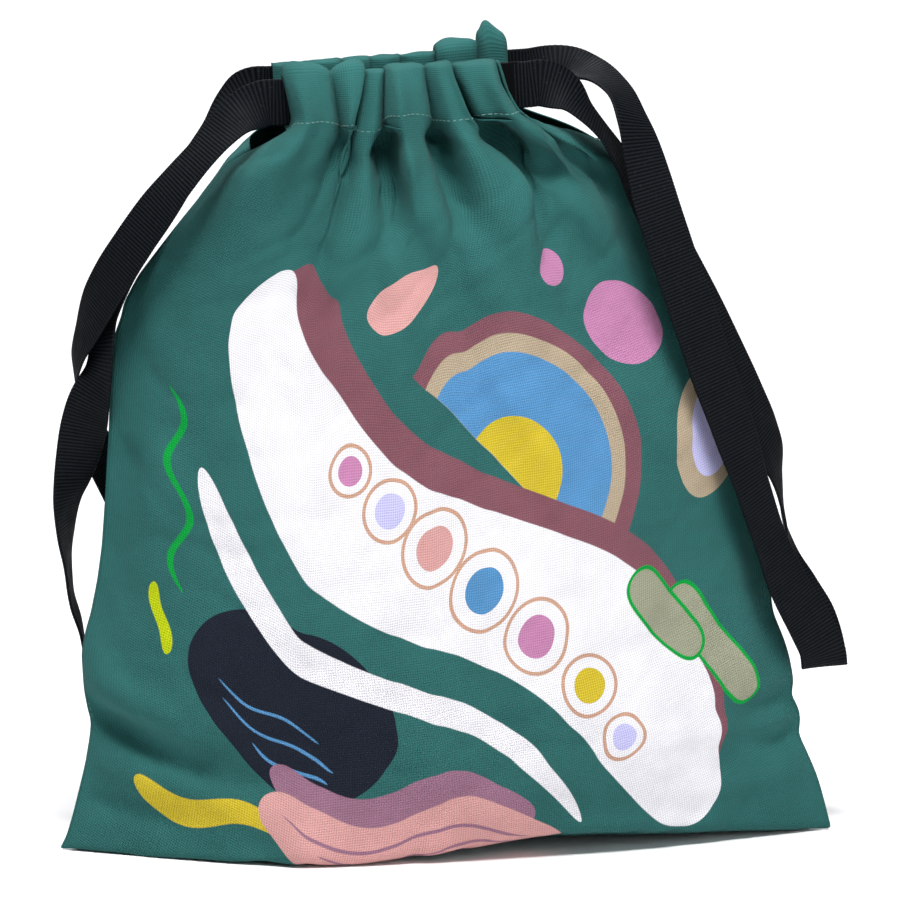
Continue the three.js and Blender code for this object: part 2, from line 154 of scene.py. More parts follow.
# Folds laid into the cloth before it settles: points x, z in mm, then height and half width
# of the fold at its first and last point (a valley is below zero)
FRONT_FOLDS = [
    ([(-50, 318), (-49, 306), (-49, 296), (-55, 284), (-66, 268)], -6, -2, 4.5, 11),
    ([(-30, 316), (-30, 302), (-28, 288), (-24, 274), (-16, 254)], -15, -3, 3.8, 9),
    ([(-9, 316), (-7, 305), (-2, 292), (10, 270)], -12, -2.5, 3.8, 8),
    ([(10, 316), (16, 309), (26, 303), (40, 298), (64, 290)], -12, -4, 4.5, 9),
    ([(-20, 300), (-12, 284), (-2, 268), (12, 248)], 3.5, 1.0, 6, 10),
    ([(6, 306), (14, 290), (24, 270), (36, 244)], 4.0, 1.0, 6, 12),
    ([(-66, 322), (-76, 308), (-90, 292), (-108, 268)], 4, 1, 9, 12),
    ([(30, 314), (48, 307), (66, 296)], 3, 1.5, 5, 5),
    ([(50, 284), (66, 268), (82, 246)], 2.4, 0.6, 8, 12),
    ([(20, 240), (26, 214), (30, 185)], 1.6, 0.4, 14, 18),
    ([(-70, 240), (-78, 214), (-82, 180)], -1.8, -0.4, 12, 18),
    ([(-158, 64), (-146, 57), (-129, 49), (-112, 42), (-90, 36)], -7.5, -1.5, 4.5, 7),
    ([(-156, 78), (-143, 70), (-124, 62), (-104, 54)], 4.6, 1.2, 8, 9),
    ([(-150, 40), (-130, 34), (-108, 28), (-84, 24)], 2.4, 0.8, 7, 9),
    ([(-137, 247), (-138, 211)], -2.5, -1.5, 6, 7),
    ([(-146, 185), (-130, 187), (-113, 184)], -1.6, -0.6, 4.5, 5),
    ([(-140, 172), (-144, 140), (-146, 98)], -4, -1.6, 9, 8),
    ([(-20, 205), (10, 180), (36, 150)], -1.6, -0.6, 9, 14),
    ([(60, 190), (84, 160), (96, 126)], -1.8, -0.6, 8, 12),
    ([(-96, 150), (-70, 128), (-52, 96)], 1.6, 0.6, 10, 14),
    ([(-126, 170), (-129, 130), (-130, 98)], 2, 1, 10, 10),
    ([(151, 44), (141, 42), (124, 45)], -4.5, -0.5, 4.5, 6),
    ([(147, 61), (138, 58), (122, 58)], -4.5, -0.5, 4.5, 6),
    ([(133, 124), (137, 100), (140, 84)], -2.6, -1.6, 7, 6),
    ([(120, 122), (124, 100), (128, 78)], 1.6, 1.0, 8, 8),
    ([(150, 30), (132, 26), (110, 26)], 1.8, 0.4, 6, 8),
    ([(-152, 22), (-136, 19), (-118, 16)], -2.2, -0.6, 4, 6),
]
BACK_FOLDS = [
    ([(-58, 312), (-66, 298), (-78, 276), (-90, 252)], -5, -1.5, 4, 12),
    ([(-18, 312), (-16, 292), (-12, 262)], -5, -1.5, 3.4, 10),
    ([(14, 311), (22, 292), (34, 268), (44, 240)], -5, -2, 4, 12),
    ([(-120, 190), (-128, 150), (-126, 110)], -3, -1, 10, 12),
    ([(112, 200), (122, 150), (124, 110)], -3, -1, 10, 12),
    ([(-40, 236), (-44, 190), (-36, 150)], 1.8, 0.4, 14, 20),
    ([(50, 226), (56, 180), (50, 130)], -1.8, -0.4, 14, 20),
    ([(150, 52), (120, 44), (88, 46)], -4, -0.8, 4, 9),
    ([(-150, 56), (-126, 46), (-96, 44)], -4, -0.8, 4, 9),
]

# Routes of the hanging loops in mm, from the front mouth round to the back mouth, and the
# lean of the webbing in degrees
LEFT_ROUTE = [
    (-91, -22, 318.5, 44), (-100, -24, 310.5, 60), (-109, -25, 301, 61), (-118, -25, 290.5, 55),
    (-127, -23, 278.5, 46), (-135.5, -20, 265, 40), (-143, -16, 252.5, 40), (-149, -10, 240, 47),
    (-153, -4, 229, 61), (-156.5, 5, 217, 80), (-157.5, 14, 207, 91), (-156, 20.5, 198, 97),
    (-153.5, 26, 187, 106), (-149, 30.5, 175, 126), (-143.5, 33.5, 163, 142), (-137, 36, 150, 144),
    (-131, 38, 135, 134), (-128, 40, 117, 114), (-128, 42, 95, 98), (-130, 44, 72, 91),
    (-134, 44.5, 55, 90), (-140, 43, 48, 90), (-146, 40.5, 52, 90), (-149.5, 36, 63, 88),
    (-152, 29, 77, 85), (-155, 22, 93, 82), (-159, 17, 106, 80), (-161, 13, 122, 78),
    (-162, 10, 138, 62), (-161.5, 8, 150, 50), (-159.5, 6, 160, 32), (-157, 4, 172, 12),
    (-155, 0.5, 184, -12), (-153, -4, 195, -34), (-149.5, -6, 207, -64), (-148, -5, 218, -68),
    (-146.5, -1, 231, -62), (-142, 0, 245, -52), (-134.5, 2, 258, -50), (-125, 6, 270, -54),
    (-114.5, 12, 283, -62), (-106, 16, 295.5, -72), (-98, 18.5, 308.5, -82), (-91, 20, 317, -66),
]
RIGHT_ROUTE = [
    (49, -18.5, 325, -42), (56.5, -19, 317, -68), (64.5, -19, 307.5, -74), (72, -18.5, 296, -66),
    (82, -17, 279, -46), (95, -16, 255, -24), (108, -16.5, 229, -17), (120, -15.5, 204, -17),
    (131, -10.5, 182, -26), (139, -5.5, 167, -50), (143, -1.5, 152, -75), (146, 2, 134, -87),
    (148.5, 3.5, 119, -62), (153, 3.5, 105, -28), (159, 2.5, 92, -6), (162, 0.5, 81, 0),
    (162.5, -4.5, 73, 0), (161, -10, 80, 4), (154, -13, 94, 14), (145, -16, 110, 28),
    (136, -19.5, 132, 40), (128, -23.5, 155, 37), (119, -26.5, 181, 18), (109, -29.5, 208, 8),
    (100, -32.5, 234, 8), (91, -34, 260, 8), (84, -34, 282, 12), (80, -31.5, 298, 26),
    (77, -26, 311, 42), (73, -15, 322.5, 58), (66.5, -3, 329, 66), (58, 9, 331.5, 60),
    (50, 17, 331, 34),
]


def smooth(a, b, v):
    t = np.clip((v - a) / (b - a), 0.0, 1.0)
    return t * t * (3 - 2 * t)


def tilt_lift(x, z):
    """How far the tilt of the neck raises the cloth below it."""
    return math.tan(NECK_TILT) * (x - NECK_X) * smooth(0.23, CASING_LOW, z)


def neck_point(s, y, h):
    """A point of the neck's frame: s along the casings, y across, h up from the webbing."""
    return np.array([
        NECK_X + s * math.cos(NECK_TILT) - h * math.sin(NECK_TILT), y,
        NECK_Z + s * math.sin(NECK_TILT) + h * math.cos(NECK_TILT),
    ])


def neck_place(points):
    """Points in the neck's frame: s, y, h."""
    x, z = points[..., 0] - NECK_X, points[..., 2] - NECK_Z
    c, n = math.cos(NECK_TILT), math.sin(NECK_TILT)
    return np.stack([x * c + z * n, points[..., 1], z * c - x * n], axis=-1)


def metres(name, description, default):
    return FloatProperty(name=name, description=description, default=default, unit="LENGTH")


def plain_colour(name, description, default):
    return FloatVectorProperty(name=name, description=description, default=default, min=0.0,
                               max=1.0, subtype="COLOR")


class StudioSettings(bpy.types.PropertyGroup):
    """Camera, floor and lights"""

    azimuth: FloatProperty(
        name="Azimuth", description="Camera's angle round the bag, from the front",
        default=math.radians(-7.4), subtype="ANGLE",
    )
    elevation: FloatProperty(
        name="Elevation", description="Camera's angle above the floor",
        default=math.radians(10.0), subtype="ANGLE",
    )
    distance: metres("Distance", "Camera's distance from its target", 5.0)
    frame_width: metres("Frame width", "Width of the view at the target", 0.3832)
    target: FloatVectorProperty(
        name="Target", description="Point that the camera looks at",
        default=(0.0013, 0.0, 0.1695), subtype="TRANSLATION",
    )
    floor: plain_colour("Floor", "Colour of the floor", (0.93, 0.93, 0.94))


class ClothSettings(bpy.types.PropertyGroup):
    """The two panels of printed cloth"""

    flat_width: metres("Flat width", "Width of a panel laid flat", 0.340)
    flat_height: metres("Flat height", "From the bottom seam to the casing's stitching", 0.373)
    casing: metres("Casing", "From the stitching to the fold at the top", 0.027)
    thickness: metres("Thickness", "Thickness of the cloth", 0.0005)
    weave: metres("Weave", "Distance between threads of the weave", 0.0011)
    columns: IntProperty(
        name="Columns", description="Faces across a panel before it settles", default=96,
    )
    rows: IntProperty(
        name="Rows", description="Faces up a panel before it settles", default=106,
    )
    steps: IntProperty(
        name="Settling steps", description="Steps of the cloth simulation", default=24,
    )
    pressure: FloatProperty(
        name="Filling", description="How hard the filling presses on the cloth", default=1.2,
    )
    hold: FloatProperty(
        name="Hold", description="How firmly the filling keeps the bag's shape", default=0.03,
    )
    ground: plain_colour("Ground", "Colour of the printed ground", (0.025, 0.112, 0.106))


class WebbingSettings(bpy.types.PropertyGroup):
    """The flat webbing of the two drawstrings"""

    width: metres("Width", "Width of the webbing", 0.020)
    thickness: metres("Thickness", "Thickness of the webbing", 0.0013)
    rib: metres("Rib", "Distance between the ribs", 0.0015)
    colour: plain_colour("Colour", "Colour of the webbing", (0.0006, 0.0008, 0.0011))


class ThreadSettings(bpy.types.PropertyGroup):
    """Sewing thread"""

    stitch: metres("Stitch", "Length of one stitch with its gap", 0.0029)
    width: metres("Width", "Thickness of the thread", 0.00036)
    colour: plain_colour("Colour", "Colour of the thread", (0.13, 0.28, 0.25))


def mesh_object(name, verts, faces, material=None):
    mesh = bpy.data.meshes.new(name)
    mesh.from_pydata([tuple(map(float, v)) for v in verts], [], faces)
    mesh.validate()
    mesh.update()
    for polygon in mesh.polygons:
        polygon.use_smooth = True
    piece = bpy.data.objects.new(name, mesh)
    bpy.context.scene.collection.objects.link(piece)
    if material:
        mesh.materials.append(material)
    return piece


class NodeMaker:
    """Short calls for adding and linking shader nodes"""

    def __init__(self, tree):
        self.tree = tree

    def node(self, kind, **values):
        n = self.tree.nodes.new(kind)
        for key, value in values.items():
            setattr(n, key, value)
        return n

    def put(self, socket, value):
        if isinstance(value, bpy.types.NodeSocket):
            self.tree.links.new(value, socket)
        elif value is not None:
            socket.default_value = value

    def math(self, operation, a, b=None, c=None, clamp=False):
        n = self.node("ShaderNodeMath", operation=operation, use_clamp=clamp)
        for socket, value in zip(n.inputs, (a, b, c)):
            self.put(socket, value)
        return n.outputs[0]

    def noise(self, vector, scale, detail=2.0, roughness=0.5):
        n = self.node("ShaderNodeTexNoise")
        self.put(n.inputs["Vector"], vector)
        self.put(n.inputs["Scale"], scale)
        self.put(n.inputs["Detail"], detail)
        self.put(n.inputs["Roughness"], roughness)
        return n.outputs["Fac"]

    def ramp(self, value, low, high, to_low=0.0, to_high=1.0):
        n = self.node("ShaderNodeMapRange")
        self.put(n.inputs["Value"], value)
        for key, v in zip(("From Min", "From Max", "To Min", "To Max"),
                          (low, high, to_low, to_high)):
            self.put(n.inputs[key], v)
        return n.outputs["Result"]

    def mix(self, factor, a, b, blend="MIX"):
        n = self.node("ShaderNodeMix", data_type="RGBA", blend_type=blend)
        self.put(n.inputs["Factor"], factor)
        self.put(n.inputs[6], a)
        self.put(n.inputs[7], b)
        return n.outputs[2]

    def vector(self, operation, a, b=None, output=0):
        n = self.node("ShaderNodeVectorMath", operation=operation)
        self.put(n.inputs[0], a)
        self.put(n.inputs[1], b)
        return n.outputs[output]

    def split(self, vector):
        n = self.node("ShaderNodeSeparateXYZ")
        self.put(n.inputs[0], vector)
        return n.outputs

    def bump(self, height, strength, distance, normal=None):
        n = self.node("ShaderNodeBump")
        n.inputs["Strength"].default_value = strength
        n.inputs["Distance"].default_value = distance
        self.put(n.inputs["Height"], height)
        if normal is not None:
            self.put(n.inputs["Normal"], normal)
        return n.outputs["Normal"]


def node_group(name, inputs, outputs):
    """A new shader node group with its sockets: (name, type, default) and (name, type)."""
    tree = bpy.data.node_groups.new(name, "ShaderNodeTree")
    for label, kind, default in inputs:
        socket = tree.interface.new_socket(label, in_out="INPUT", socket_type=kind)
        if default is not None:
            socket.default_value = default
    for label, kind in outputs:
        tree.interface.new_socket(label, in_out="OUTPUT", socket_type=kind)
    maker = NodeMaker(tree)
    return tree, maker, maker.node("NodeGroupInput"), maker.node("NodeGroupOutput")


def use_group(maker, tree, **values):
    n = maker.node("ShaderNodeGroup")
    n.node_tree = tree
    for key, value in values.items():
        maker.put(n.inputs[key], value)
    return n


FLOAT, VECTOR, COLOUR = "NodeSocketFloat", "NodeSocketVector", "NodeSocketColor"


def weave_group():
    """Plain weave: threads over and under each other, in the cloth's own metres. Its Shade darkens
    the threads where they dip under, as painted shade, and adds a random patchy tone.
    """
    if "Plain weave" in bpy.data.node_groups:
        return bpy.data.node_groups["Plain weave"]
    tree, m, given, out = node_group(
        "Plain weave",
        [("Vector", VECTOR, None), ("Pitch", FLOAT, 0.0011), ("Slub", FLOAT, 0.3)],
        [("Height", FLOAT), ("Shade", FLOAT)],
    )
    split = m.split(given.outputs["Vector"])
    wobble = m.noise(given.outputs["Vector"], 900.0, 1.0)
    phase = m.math("MULTIPLY", m.math("SUBTRACT", wobble, 0.5), given.outputs["Slub"])
    sines = []
    for axis in (0, 1):
        turn = m.math("DIVIDE", split[axis], given.outputs["Pitch"])
        turn = m.math("MULTIPLY_ADD", turn, math.pi, phase)
        sines.append(m.math("SINE", turn))
    # Warp is on top where both sines have the same sign
    cross = m.math("MULTIPLY", sines[0], sines[1])
    warp = m.math("MULTIPLY", m.math("ABSOLUTE", sines[0]), m.ramp(cross, -0.35, 0.35, 0.55, 1.0))
    weft = m.math("MULTIPLY", m.math("ABSOLUTE", sines[1]), m.ramp(cross, -0.35, 0.35, 1.0, 0.55))
    height = m.math("SMOOTH_MAX", warp, weft, 0.15)
    m.put(out.inputs["Height"], height)
    # Shade: painted shade where the threads dip under each other, times a random patchy tone of
    # the cloth
    patch = m.noise(given.outputs["Vector"], 45.0, 3.0)
    shade = m.math("MULTIPLY_ADD", height, 0.46, m.ramp(patch, 0.3, 0.7, 0.53, 0.63))
    m.put(out.inputs["Shade"], shade)
    return tree


def from_centre(m, given):
    """A place on the flat cloth, turned about a printed shape's centre and taken from it."""
    turn = m.node("ShaderNodeVectorRotate", rotation_type="Z_AXIS")
    m.put(turn.inputs["Vector"], given.outputs["Vector"])
    m.put(turn.inputs["Center"], given.outputs["Centre"])
    m.put(turn.inputs["Angle"], given.outputs["Turn"])
    return m.vector("SUBTRACT", turn.outputs[0], given.outputs["Centre"])


def shape_group():
    """Masks of a printed ellipse and of the half plane past its middle."""
    if "Printed round" in bpy.data.node_groups:
        return bpy.data.node_groups["Printed round"]
    tree, m, given, out = node_group(
        "Printed round",
        [("Vector", VECTOR, None), ("Centre", VECTOR, None), ("Turn", FLOAT, 0.0),
         ("Radii", VECTOR, None)],
        [("Mask", FLOAT), ("Side", FLOAT)],
    )
    away = from_centre(m, given)
    length = m.vector("LENGTH", m.vector("DIVIDE", away, given.outputs["Radii"]), output="Value")
    m.put(out.inputs["Mask"], m.ramp(length, 0.992, 1.0, 1.0, 0.0))
    m.put(out.inputs["Side"], m.ramp(m.split(away)[1], 0.0, 0.0006))
    return tree


def wave_group():
    """Mask of a printed band that follows a wave, with round ends."""
    if "Printed wave" in bpy.data.node_groups:
        return bpy.data.node_groups["Printed wave"]
    tree, m, given, out = node_group(
        "Printed wave",
        [("Vector", VECTOR, None), ("Centre", VECTOR, None), ("Turn", FLOAT, 0.0),
         ("Half width", FLOAT, 0.01), ("Half length", FLOAT, 0.1), ("Swing", FLOAT, 0.01),
         ("Wave", FLOAT, 0.1), ("Taper", FLOAT, 0.0)],
        [("Mask", FLOAT)],
    )
    away = from_centre(m, given)
    along, across, _ = m.split(away)
    swing = m.math("SINE", m.math("DIVIDE", m.math("MULTIPLY", along, 2 * math.pi),
                                  given.outputs["Wave"]))
    middle = m.math("MULTIPLY", swing, given.outputs["Swing"])
    share = m.math("DIVIDE", along, given.outputs["Half length"])
    narrow = m.math("MULTIPLY_ADD", m.math("MULTIPLY", share, given.outputs["Taper"]), -1.0, 1.0)
    half = m.math("MULTIPLY", given.outputs["Half width"], narrow)
    end = m.math("POWER", m.math("MINIMUM", m.math("ABSOLUTE", share), 1.0), 6.0)
    half = m.math("MULTIPLY", half, m.math("SQRT", m.math("SUBTRACT", 1.0, end)))
    edge = m.math("SUBTRACT", half, m.math("ABSOLUTE", m.math("SUBTRACT", across, middle)))
    body = m.ramp(edge, 0.0, 0.0005)
    ends = m.ramp(m.math("ABSOLUTE", share), 0.998, 1.0, 1.0, 0.0)
    m.put(out.inputs["Mask"], m.math("MULTIPLY", body, ends))
    return tree


PRINT_COLOURS = {
    "white": (0.76, 0.75, 0.79, 1), "maroon": (0.195, 0.078, 0.100, 1),
    "blue": (0.085, 0.248, 0.476, 1), "yellow": (0.558, 0.432, 0.032, 1),
    "navy": (0.012, 0.016, 0.026, 1), "pink": (0.48, 0.20, 0.37, 1),
    "lavender": (0.503, 0.492, 0.787, 1), "tan": (0.398, 0.323, 0.227, 1),
    "taupe": (0.291, 0.300, 0.214, 1), "salmon": (0.599, 0.315, 0.302, 1),
    "mauve": (0.281, 0.142, 0.211, 1), "leaf": (0.004, 0.30, 0.045, 1),
    "line": (0.52, 0.31, 0.22, 1), "lime": (0.43, 0.518, 0.007, 1),
}
# The print, in mm on the flat cloth from the middle of the bottom seam, lowest layer first.
# round: colour, centre, radii, turn, 1 for a half
# wave: colour, centre, half width, half length, swing, length of a wave, taper, turn
PRINT = [
    ("round", "maroon", (32, 206), (70, 70), 47, 1),
    ("round", "tan", (32, 206), (61, 61), 47, 1),
    ("round", "blue", (32, 206), (53, 53), 47, 1),
    ("round", "yellow", (32, 206), (26, 26), 47, 1),
    ("round", "navy", (-76, 116), (48, 38), 22, 0),
    ("wave", "blue", (-88, 112), 1.0, 22, 3, 40, 0, 16),
    ("wave", "blue", (-84, 101), 1.0, 26, 3, 40, 0, 16),
    ("wave", "blue", (-80, 91), 1.0, 18, 3, 40, 0, 16),
    ("wave", "white", (-36, 126), 7, 118, 21, 300, 0.3, 47),
    ("wave", "maroon", (16, 178), 32, 166, 21, 300, 0.1, 47),
    ("wave", "white", (6, 167), 33, 172, 21, 300, -0.12, 47),
    ("round", "pink", (112, 258), (24, 19), 28, 0),
    ("round", "pink", (70, 290), (10, 8), 10, 0),
    ("round", "salmon", (-20, 290), (20, 12), -26, 0),
    ("round", "tan", (140, 196), (19, 27), 12, 0),
    ("round", "lavender", (142, 196), (12, 19), 12, 0),
    ("wave", "leaf", (-136, 190), 2, 44, 5, 42, 0, 84),
    ("wave", "leaf", (132, 106), 9.6, 36, 0, 100, 0, 64),
    ("wave", "taupe", (132, 106), 8, 34.4, 0, 100, 0, 64),
    ("wave", "leaf", (110, 128), 9.6, 28, 0, 100, 0, 56),
    ("wave", "taupe", (110, 128), 8, 26.4, 0, 100, 0, 56),
    ("wave", "yellow", (-112, 56), 6, 36, 4, 60, 0.3, -14),
    ("wave", "lime", (-138, 132), 3, 15, 2, 34, 0, 70),
    ("wave", "mauve", (-28, 72), 11, 62, 6, 84, 0, 8),
    ("wave", "salmon", (-24, 55), 15, 70, 6, 84, 0, 8),
    ("wave", "mauve", (-26, 58), 1.1, 58, 5, 84, 0, 8),
    ("wave", "mauve", (-18, 48), 1.1, 48, 5, 84, 0, 8),
]
PRINT_MIDDLE = 0.17
RING_LINE, DISC_SHARE = 1.7, 0.55
# Row of ringed discs along the wide band: centre, radius, and the disc's tint
for x, z, ring, tint in (
        (-52, 220, 11, "pink"), (-32, 202, 14, "lavender"), (-9, 183, 17, "salmon"),
        (17, 160, 18, "blue"), (44, 136, 17, "pink"), (66, 110, 14, "yellow"),
        (79, 83, 11, "lavender")):
    PRINT += [("round", "line", (x, z), (ring, ring), 0, 0),
              ("round", "white", (x, z), (ring - RING_LINE, ring - RING_LINE), 0, 0),
              ("round", tint, (x, z), (ring * DISC_SHARE, ring * DISC_SHARE), 0, 0)]


def rgba(colour, bright=1.0):
    return tuple(c * bright for c in colour[:3]) + (1.0,)


def principled(name):
    material = bpy.data.materials.new(name)
    material.use_nodes = True
    return material, NodeMaker(material.node_tree), material.node_tree.nodes["Principled BSDF"]


def cloth_material(name, printed):
    """Woven cloth, with the print on it where printed."""
    if name in bpy.data.materials:
        return bpy.data.materials[name]
    settings = bpy.context.scene.bag_cloth
    material, m, shader = principled(name)
    uv = m.node("ShaderNodeUVMap", uv_map="Cloth").outputs["UV"]
    weave = use_group(m, weave_group(), Vector=uv, Pitch=settings.weave)
    ground = rgba(settings.ground)
    colour = m.mix(m.ramp(m.noise(uv, 14.0, 3.0), 0.35, 0.65), ground, rgba(ground, 1.12))
    if printed:
        for kind, tint, centre, *rest in PRINT:
            place = {"Vector": uv,
                     "Centre": (centre[0] * MM + PRINT_MIDDLE, centre[1] * MM, 0.0)}
            if kind == "round":
                radii, turn, cut = rest
                node = use_group(
                    m, shape_group(), Turn=math.radians(turn),
                    Radii=(radii[0] * MM, radii[1] * MM, 1.0), **place)
            else:
                half_width, half_length, swing, wave, taper, turn = rest
                cut = False
                node = use_group(
                    m, wave_group(), Swing=swing * MM, Wave=wave * MM, Taper=taper,
                    Turn=math.radians(turn), **place,
                    **{"Half width": half_width * MM, "Half length": half_length * MM})
            mask = node.outputs["Mask"]
            if cut:
                mask = m.math("MULTIPLY", mask, node.outputs["Side"])
            colour = m.mix(mask, colour, PRINT_COLOURS[tint])
    # The weave's painted shade in the threads' dips, with its random patchy tone, darkens the
    # colour
    shaded = m.mix(1.0, colour, weave.outputs["Shade"], "MULTIPLY")
    m.put(shader.inputs["Base Color"], shaded)
    m.put(shader.inputs["Roughness"], m.ramp(weave.outputs["Height"], 0.0, 1.0, 0.92, 0.78))
    shader.inputs["Sheen Weight"].default_value = 0.03
    shader.inputs["Sheen Roughness"].default_value = 0.4
    shader.inputs["Specular IOR Level"].default_value = 0.06
    crumple = m.noise(uv, 60.0, 4.0, 0.55)
    soft = m.bump(crumple, 0.25, 0.0012)
    m.put(shader.inputs["Normal"], m.bump(weave.outputs["Height"], 0.9, 0.0003, soft))
    return material


def webbing_material():
    """Black ribbed webbing, with a painted highlight on the top of each rib."""
    if "Ribbed webbing" in bpy.data.materials:
        return bpy.data.materials["Ribbed webbing"]
    settings = bpy.context.scene.bag_webbing
    material, m, shader = principled("Ribbed webbing")
    place = m.node("ShaderNodeUVMap", uv_map="Webbing").outputs["UV"]
    # Ribs across the webbing, and fine yarns along it
    rib, yarn = (m.math("ABSOLUTE", m.math("SINE", m.math("MULTIPLY", way, math.pi / pitch)))
                 for way, pitch in zip(m.split(place), (settings.rib, 0.0009)))
    dust = m.ramp(m.noise(place, 700.0, 2.0), 0.62, 0.75)
    base = rgba(settings.colour)
    # Painted highlight: the tops of the ribs are painted lighter, more where the fine yarns stand
    # up
    painted_rib_highlight = m.math("MULTIPLY", m.math("POWER", rib, 3.0), m.ramp(yarn, 0.0, 1.0, 0.55, 1.0))
    colour = m.mix(painted_rib_highlight, base, rgba(base, 14.0))
    colour = m.mix(m.math("MULTIPLY", dust, 0.05), colour, (0.16, 0.17, 0.18, 1.0))
    m.put(shader.inputs["Base Color"], colour)
    m.put(shader.inputs["Roughness"], m.ramp(m.noise(place, 120.0, 2.0), 0.3, 0.7, 0.52, 0.68))
    shader.inputs["Sheen Weight"].default_value = 0.0
    shader.inputs["Specular IOR Level"].default_value = 0.06
    m.put(shader.inputs["Normal"], m.bump(yarn, 0.5, 0.00012))
    return material


def thread_material():
    """Twisted sewing thread, with painted shade in the grooves of its twist."""
    if "Sewing thread" in bpy.data.materials:
        return bpy.data.materials["Sewing thread"]
    settings = bpy.context.scene.bag_thread
    material, m, shader = principled("Sewing thread")
    place = m.node("ShaderNodeTexCoord").outputs["Object"]
    twist = m.node("ShaderNodeTexWave", bands_direction="DIAGONAL")
    m.put(twist.inputs["Vector"], place)
    m.put(twist.inputs["Scale"], 900.0)
    base = rgba(settings.colour)
    # The twist's grooves are darkened with painted shade
    m.put(shader.inputs["Base Color"], m.mix(
        twist.outputs["Fac"], rgba(base, 0.75), base))
    m.put(shader.inputs["Roughness"], m.ramp(twist.outputs["Fac"], 0.0, 1.0, 0.7, 0.5))
    shader.inputs["Sheen Weight"].default_value = 0.2
    m.put(shader.inputs["Normal"], m.bump(twist.outputs["Fac"], 0.4, 0.0001))
    return material


def run_along(line):
    """Distance along a line at each of its points."""
    return np.concatenate([[0], np.cumsum(np.linalg.norm(np.diff(line, axis=0), axis=1))])


def points_at(line, run, place):
    """Points of a line at places along it."""
    return np.column_stack([np.interp(place, run, line[:, k]) for k in range(3)])


def unit(vector):
    return vector / np.linalg.norm(vector)


def spline(points, per_span):
    """Centripetal Catmull-Rom curve through points, as the part's own routes."""
    p = np.array(points, float)
    p = np.vstack([2 * p[0] - p[1], p, 2 * p[-1] - p[-2]])
    out, place = [], []
    for k in range(1, len(p) - 2):
        p0, p1, p2, p3 = p[k - 1:k + 3]
        d0, d1, d2 = (np.linalg.norm(b - a) ** 0.5 for a, b in ((p0, p1), (p1, p2), (p2, p3)))
        t1 = ((p1 - p0) / d0 - (p2 - p0) / (d0 + d1) + (p2 - p1) / d1) * d1
        t2 = ((p2 - p1) / d1 - (p3 - p1) / (d1 + d2) + (p3 - p2) / d2) * d1
        last = k == len(p) - 3
        for i in range(per_span + (1 if last else 0)):
            t = i / per_span
            out.append(p1 + t1 * t + (-3 * p1 + 3 * p2 - 2 * t1 - t2) * t * t
                       + (2 * p1 - 2 * p2 + t1 + t2) * t ** 3)
            place.append(k - 1 + t)
    return np.array(out), np.array(place)


# Below this the route runs too nearly along y to give the width; points that the twist is
# evened out over, each way
SURE_WIDTH, TWIST_REACH = 0.35, 30


def loop_frames(side, route, lane):
    """Middle line, width and thickness directions of a hanging loop, evenly spaced."""
    ends = [[neck_point(side * (NECK_HALF + out), y, 0.0) for out in (-0.001, 0.005, PIVOT_OUT)]
            for y in (-lane, lane)]
    points = ends[0] + [np.array(r[:3]) * MM for r in route] + ends[1][::-1]
    lean = [0, 0, 0] + [r[3] for r in route] + [0, 0, 0]
    line, place = spline(points, 24)
    run = run_along(line)
    per_rib = 4
    count = int(round(run[-1] / bpy.context.scene.bag_webbing.rib)) * per_rib
    even = np.linspace(0, run[-1], count + 1)
    line = points_at(line, run, even)
    place = np.interp(even, run, place)
    k = np.floor(np.minimum(place, len(lean) - 1.001)).astype(int)
    f = smooth(0, 1, place - k)
    lean = np.array(lean, float)
    angle = np.radians(lean[k] * (1 - f) + lean[k + 1] * f)
    tangent = np.gradient(line, axis=0)
    tangent /= np.linalg.norm(tangent, axis=1)[:, None]
    # The width lies level where the route allows it; elsewhere it is carried along
    wide = np.cross(tangent, (0.0, 1.0, 0.0))
    sure = np.linalg.norm(wide, axis=1)
    for i in range(1, len(wide)):
        if sure[i] < SURE_WIDTH:
            wide[i] = wide[i - 1]
            continue
        wide[i] /= sure[i]
        if wide[i] @ wide[i - 1] < 0:
            wide[i] *= -1
    wide[0] /= max(np.linalg.norm(wide[0]), 1e-9)
    c, s = np.cos(angle)[:, None], np.sin(angle)[:, None]
    wide = wide * c + np.cross(tangent, wide) * s
    # Even out the twist, then square the directions again
    window = np.hanning(2 * TWIST_REACH + 1)
    window /= window.sum()
    for axis in range(3):
        padded = np.pad(wide[:, axis], TWIST_REACH, mode="edge")
        wide[:, axis] = np.convolve(padded, window, mode="valid")
    wide -= tangent * np.sum(wide * tangent, axis=1)[:, None]
    wide /= np.linalg.norm(wide, axis=1)[:, None]
    thick = np.cross(tangent, wide)
    return line, wide, thick, even


